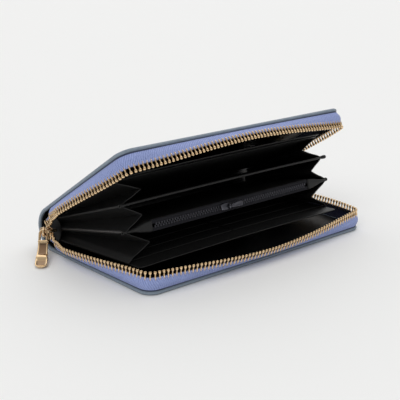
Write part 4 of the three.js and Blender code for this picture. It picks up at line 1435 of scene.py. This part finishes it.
@dataclass
class GussetLeaf:
    """One leaf of folded gusset leather, from a sheet's side edge in to the fold.

    Across the leaf, t runs from its seam to the fold. The leaf is straight but for a round bend
    where it leaves the sheet, and ends in a bead that is half of the fold.
    """

    layout: Layout
    level: str
    side: Side
    lean: Lean
    thickness: float = 0.42
    bead: float = 0.62
    root: float = 3.0
    step: float = 1.75

    def make(self) -> bpy.types.Object:
        """Builds the leaf from its CAD node's corners and bakes its transform."""
        lean = self.lean.name.lower()
        node = f"gusset_{self.level}_{self.side.name.lower()}_{lean}"
        joint = self.layout.joints[node + "_fold"]
        page = self.layout.pages[joint["parent"]]
        low, high = page.extent(node)
        sign, up = self.side.value, self.lean.value
        edge_x = abs(joint["pos_m"][0]) / MM
        y, z = joint["pos_m"][1] / MM - page.hinge[0], joint["pos_m"][2] / MM - page.hinge[1]
        seam_rise = y * math.sin(page.turn) + z * math.cos(page.turn)
        depth = edge_x - min(abs(low[0]), abs(high[0]))
        tall = abs((high[2] if up > 0 else low[2]) - seam_rise) - 0.2
        tilt = math.atan2(tall, depth)
        reach = np.concatenate([self.root + np.array([0, 0.1, 0.4, 1.0]),
                                spread(self.root + 3, high[1] - 3, 4.0),
                                high[1] - np.array([1.0, 0.4, 0.1, 0.0])])
        near = self.width_at(node, page, edge_x, low[1] + 1.0)
        far = depth / math.cos(tilt)
        share = (reach - low[1]) / (high[1] - low[1])
        width = np.maximum(near + (far - near) * share, 0.8) + 0.6 + 0.3 * (1 - share)
        t = np.concatenate([[0, 0.004, 0.015], np.linspace(0.03, 0.94, 14), [0.965, 0.985, 0.996, 1]])
        tt, ww = np.meshgrid(t, width, indexing="ij")
        rr = np.broadcast_to(reach, tt.shape)
        across = tt * ww
        sag = 0.12 * ripple(across, rr, 21.0, 3.0 + sign + up)
        sag = sag - 0.35 * np.sin(math.pi * tt) ** 2 * smooth(ww, 4, 14)
        d = np.minimum(np.minimum(across, ww - across), np.minimum(rr - reach[0], reach[-1] - rr))
        half = self.thickness + (self.bead - self.thickness) * np.exp(-((ww - across) / 1.0) ** 2)
        half = half * np.sqrt(np.clip(1 - np.maximum(1 - d / half, 0) ** 2, 0, 1))
        root = smooth(across, 0, 2.2)
        sink = (self.step if self.level == "lower" and up > 0 else 0.85) * (1 - smooth(across, 0, 3.0))

        def face(offset: Array) -> Array:
            """Points at an offset from the leaf's middle."""
            x = edge_x + 0.9 - across * math.cos(tilt) + up * (offset + sag) * math.sin(tilt) - 0.9 * root
            rise = seam_rise + up * (across * math.sin(tilt) - sink) + (offset + sag * up) * math.cos(tilt)
            return page.place(sign * x, rr, rise)

        # Edge attribute: the front end and the fold bead lighten, rubbed and with a painted highlight on the fold's
        # crest.
        shape = closed_shell(face(half), face(-half), np.stack([across, rr], -1),
                             np.maximum(np.exp(-(high[1] - rr) / 0.8), 0.45 * np.exp(-(ww - across) / 1.2)))
        piece = build(node + "_leather", shape, BLACK)
        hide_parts(node)
        start = page.place(np.array(sign * (edge_x + 0.5)), np.array(45.0), np.array(seam_rise))
        end = page.place(np.array(sign * (edge_x - 3.0)), np.array(45.0), np.array(seam_rise))
        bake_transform(piece)
        return piece

    def width_at(self, node: str, page: Page, edge_x: float, reach: float) -> float:
        """Width of the CAD leaf near the spine, from its corner points there."""
        mesh = bpy.data.objects[node].data
        points = np.empty(len(mesh.vertices) * 3)
        mesh.vertices.foreach_get("co", points)
        x, y, z = points.reshape(-1, 3).T / MM
        c, s = math.cos(page.turn), math.sin(page.turn)
        own = -(y - page.hinge[0]) * c + (z - page.hinge[1]) * s
        near = own < reach
        return float(edge_x - np.abs(x[near]).min()) * 1.1


# ---------------------------------------------------------------- slider and pull of the main zip


@dataclass
class ZipSlider:
    """The gold slider of the main zip with its bail, and its pull."""

    layout: Layout
    wire: float = 0.62
    sag: float = 2.6
    half_length: float = 4.4
    half_height: float = 3.0

    def __post_init__(self) -> None:
        """Reads the slider's box and the pull's swing."""
        low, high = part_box("zip_slider")
        swing = self.layout.joints["zip_pull_swing"]
        self.pivot = np.array(swing["pos_m"]) / MM
        axis = np.array(swing["axis"], float)
        self.across = axis / np.linalg.norm(axis)
        self.heading = np.cross((0.0, 0.0, 1.0), -self.across)
        if self.heading[0] > 0:
            self.heading = -self.heading
        self.inner_x = high.x / MM
        self.back = high.y / MM
        self.front = self.back - 10.5
        self.low_z, self.mid_z = low.z / MM, self.layout.hinge[1]

    def plate(self, middle: float, thick: float, crown: float) -> Shape:
        """An upright plate: wide at the mouth, narrowing in a curve to its tail.

        At a share t of its half length, half its height falls by t^2 / 2 towards the tail and by
        0.38 t^4 towards the nose, and its faces round off to the outline.
        """
        u = np.concatenate([[-1, -0.99, -0.96, -0.9, -0.82], np.linspace(-0.7, 0.7, 11), [0.82, 0.9, 0.96, 0.99, 1]])
        uu, vv = np.meshgrid(u, u, indexing="ij")
        centre = (self.front + self.back) / 2
        y = centre + uu * self.half_length
        tall = self.half_height * (1 - np.where(uu > 0, 0.5 * uu**2, 0.38 * uu**4))
        z = self.mid_z + vv * tall
        square = np.maximum(np.abs(uu), np.abs(vv))
        round_off = np.sqrt(np.clip(1 - square**10, 0, 1))
        swell = crown * (1 - uu**2) * (1 - vv**2)
        left = np.stack([middle - thick * round_off - swell, y, z], -1)
        right = np.stack([middle + thick * round_off, y, z], -1)
        # Edge attribute square^6: the rims stay bright and the middle takes the painted dark reflection.
        return closed_shell(left, right, np.stack([y, z], -1), square**6)

    def body(self) -> bpy.types.Object:
        """The slider: two plates, the post between them, and a bail with a raised crown.

        The bail is a wire along half an oval that stands out of the outer plate: height cos a,
        reach (sin a)^0.6.
        """
        inner = self.inner_x - 0.55
        outer = inner - 4.1
        post = tube(np.array([(inner, self.front + 4, self.mid_z), (outer, self.front + 4, self.mid_z)]),
                    1.5, (0, 1, 0), 10)
        foot = np.array([outer - 0.1, self.pivot[1], self.pivot[2]])
        reach = np.linalg.norm((self.pivot - foot)[:2]) + 1.8
        start = self.pivot - self.heading * (reach - 1.7)
        a = np.linspace(0, math.pi, 25)
        out = reach * np.sin(a) ** 0.6
        path = start + out[:, None] * self.heading + 2.3 * np.cos(a)[:, None] * np.array([0, 0, 1.0])
        bail = tube(path, self.wire + 0.25 * np.sin(a) ** 2, tuple(self.across), 10, 1.5)
        high = self.mid_z + 1.9
        nose = self.front - 0.9
        crown = tube(np.array([(outer - 0.9, nose, high), (inner, nose, high), (inner + 0.5, nose, high)]),
                     1.05, (0, 0, 1), 12)
        crown.edge[:] = 1.0
        shape = joined([self.plate(outer, 0.55, 0.35), self.plate(inner, 0.55, 0.25), post, bail, crown])
        piece = build("slider_body", shape, GOLD)
        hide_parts("zip_slider")
        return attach(piece, "zip_slider")

    def pull(self) -> bpy.types.Object:
        """The pull, a wire loop round the bail that widens into a strap with a dished end.

        At a share u of its length the strap is half as wide as 3.1, growing smoothly to 3.85, and
        closes in a half circle. It sags by a sine below the line from its swing to its tip, with
        a raised wave past its middle and a dish at its tip.
        """
        corners = np.array([bpy.data.objects["zip_pull"].data.vertices[i].co[:]
                            for i in range(len(bpy.data.objects["zip_pull"].data.vertices))]) / MM
        flat = (corners - self.pivot) @ self.heading
        drop = (corners - self.pivot)[:, 2]
        tip = np.argmax(np.hypot(flat, drop))
        fall = math.atan2(-(drop[tip]), flat[tip])
        length = float(np.hypot(flat, drop).max()) + 0.7
        along = self.heading * math.cos(fall) - np.array([0, 0, math.sin(fall)])
        up = np.cross(along, self.across)
        if up[2] < 0:
            up = -up
        foot = 6.0
        u = (1 - np.cos(np.linspace(0, math.pi, 41))) / 2
        v = np.sin(np.linspace(-math.pi / 2, math.pi / 2, 17))
        uu, vv = np.meshgrid(u, v, indexing="ij")
        round_end = np.sqrt(np.clip(1 - np.maximum((uu - 0.84) / 0.16, 0) ** 2, 0, 1))
        wide = (3.1 + 0.75 * smooth(uu, 0.15, 0.75)) * round_end * np.clip(uu / 0.03, 0, 1) ** 0.4
        rim = smooth(np.abs(vv), 0.62, 0.86)
        dish = smooth(uu, 0.62, 0.72) * (1 - smooth(uu, 0.9, 0.98)) * (1 - rim)
        wave = np.exp(-((uu - 0.56) / 0.07) ** 2)
        hollow = smooth(uu, 0.02, 0.12) * (1 - smooth(uu, 0.42, 0.52)) * (1 - rim)
        round_off = np.sqrt(np.clip(1 - np.abs(vv) ** 8, 0, 1)) * np.sqrt(np.clip(np.minimum(uu, 1 - uu) / 0.02, 0, 1))
        axis = foot + uu * (length - foot)
        middle = 0.55 * wave - self.sag * np.sin(math.pi * axis / length)
        top = 0.72 * round_off * (1 - 0.75 * dish - 0.5 * hollow) + 0.3 * wave * round_off
        base = 0.72 * round_off * (1 - 0.2 * dish)

        def face(height: Array) -> Array:
            """Points of the strap at a height off its middle."""
            return (self.pivot + axis[..., None] * along + (vv * wide)[..., None] * self.across
                    + height[..., None] * up)

        # Edge attribute: the hollow and the dish take the painted dark reflection, the rims and the wave stay bright.
        strap = closed_shell(face(middle + top), face(middle - base), np.stack([axis, vv * wide], -1),
                             np.clip(1 - 1.2 * hollow - 0.9 * dish, 0, 1))
        a = np.linspace(-math.pi / 2, math.pi / 2, 21)
        bow_a = np.concatenate([[foot + 0.8], 1.0 - 2.6 * np.cos(a), [foot + 0.8]])
        bow_b = np.concatenate([[-2.3], 2.35 * np.sin(a), [2.3]])
        bow_c = -self.sag * np.sin(math.pi * bow_a / length)
        bow = tube(self.pivot + bow_a[:, None] * along + bow_b[:, None] * self.across + bow_c[:, None] * up,
                   0.8, tuple(up), 10)
        drop = self.sag * math.sin(math.pi * foot / length)
        collar = tube(self.pivot + np.full((3, 1), foot + 0.2) * along - drop * up
                      + np.array([[-2.6], [0.0], [2.6]]) * self.across, 0.95, tuple(up), 10)
        # The bow takes a little painted dark reflection, the collar none.
        bow.edge[:] = 0.7
        collar.edge[:] = 1.0
        piece = build("pull_strap", joined([strap, bow, collar]), GOLD)
        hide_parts("zip_pull")
        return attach(piece, "zip_pull")

    def make(self) -> None:
        """Builds the slider and the pull."""
        self.body()
        self.pull()


# ---------------------------------------------------------------- studio


@dataclass
class Studio:
    """Pale floor, soft light, and the camera in front of the wallet's near left corner."""

    position: Tuple[float, float, float] = (-412.5, -441.64, 216.58)
    azimuth: float = -42.458
    elevation: float = 17.489
    roll: float = 1.077
    lens: float = 87.38
    low_sky: float = 0.42
    high_sky: float = 1.25
    key: float = 0.3
    fill: float = 0.92

    def camera(self) -> None:
        """Camera aimed by azimuth (0 looks along +Y) and elevation, then rolled about its view."""
        data = bpy.data.cameras.new("camera")
        data.lens = self.lens
        data.sensor_width = 36.0
        data.clip_end = 20.0
        camera = bpy.data.objects.new("camera", data)
        azimuth, elevation = math.radians(self.azimuth), math.radians(self.elevation)
        turn = (Matrix.Rotation(azimuth, 4, "Z") @ Matrix.Rotation(math.pi / 2 - elevation, 4, "X")
                @ Matrix.Rotation(math.radians(self.roll), 4, "Z"))
        camera.matrix_world = Matrix.Translation(Vector(self.position) * MM) @ turn
        bpy.context.scene.collection.objects.link(camera)
        bpy.context.scene.camera = camera

    def floor(self) -> None:
        """A wide flat pale floor."""
        side = np.linspace(-9000, 9000, 13)
        x, y = np.meshgrid(side, side)
        points = np.stack([x, y, np.full(x.shape, -0.02)], -1).reshape(-1, 3) * MM
        mesh = bpy.data.meshes.new("floor")
        mesh.from_pydata(points.tolist(), [], grid_faces(np.arange(x.size).reshape(x.shape)).tolist())
        material = bpy.data.materials.new("floor_paper")
        material.use_nodes = True
        shader = material.node_tree.nodes["Principled BSDF"]
        shader.inputs["Base Color"].default_value = (*srgb(241, 241, 240), 1)
        shader.inputs["Roughness"].default_value = 0.75
        shader.inputs["Specular IOR Level"].default_value = 0.2
        mesh.materials.append(material)
        floor = bpy.data.objects.new("floor", mesh)
        bpy.context.scene.collection.objects.link(floor)
        floor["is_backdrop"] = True

    def lights(self) -> None:
        """A surround that is bright overhead and dim at eye level, and two soft suns."""
        world = bpy.data.worlds.new("studio")
        bpy.context.scene.world = world
        world.use_nodes = True
        graph = Graph(world.node_tree)
        azimuth = math.radians(self.azimuth)
        toward = Vector((-math.sin(azimuth) * 0.68, math.cos(azimuth) * 0.68, 0.73))
        at = graph.add("TexCoord").outputs["Generated"]
        along = graph.add("VectorMath", {0: at, 1: toward}, operation="DOT_PRODUCT").outputs["Value"]
        level = graph.add("MapRange", {0: along, 1: 0.5, 2: 0.95, 3: self.low_sky, 4: self.high_sky},
                          interpolation_type="SMOOTHSTEP").outputs[0]
        back = graph.add("Background", {"Color": (1, 1, 1, 1), "Strength": level})
        sink = graph.add("OutputWorld")
        graph.tree.links.new(back.outputs[0], sink.inputs[0])
        for name, at, angle, power in (("key", (0.3, 0.15, 1.0), 60.0, self.key),
                                       ("fill", (-0.9, -0.5, 1.0), 45.0, self.fill)):
            data = bpy.data.lights.new(name, "SUN")
            data.angle = math.radians(angle)
            data.energy = power
            lamp = bpy.data.objects.new(name, data)
            lamp.visible_glossy = False
            lamp.location = at
            lamp.rotation_euler = (-Vector(at)).to_track_quat("-Z", "Y").to_euler()
            bpy.context.scene.collection.objects.link(lamp)

    def make(self) -> None:
        """Builds the studio."""
        bpy.context.scene.view_settings.view_transform = "Standard"
        self.camera()
        self.floor()
        self.lights()


def corners(bounds: Sequence) -> List[List[float]]:
    """A box as plain lists of numbers."""
    return [[float(c) for c in corner] for corner in bounds]


def main() -> None:
    """Builds every sub-assembly of the wallet on its frame, in order."""
    logging.basicConfig(level=logging.INFO, format="%(name)s: %(message)s")
    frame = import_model()
    cad_box = corners(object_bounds())
    Studio().make()
    layout = Layout(frame)
    CoverWrap(layout).make()
    MainZip(layout, Row.LOWER, 54.0, 29.0).make()
    MainZip(layout, Row.UPPER, 50.0, 12.0).make()
    CardSide(layout).make()
    Divider(layout).make()
    SlipSide(layout).make()
    CoinPocket(layout).make()
    for level in ("lower", "middle", "upper"):
        for side in Side:
            for lean in Lean:
                GussetLeaf(layout, level, side, lean).make()
    ZipSlider(layout).make()
    {"cad": cad_box, "visual": corners(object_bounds())}


if __name__ == "__main__":
    main()
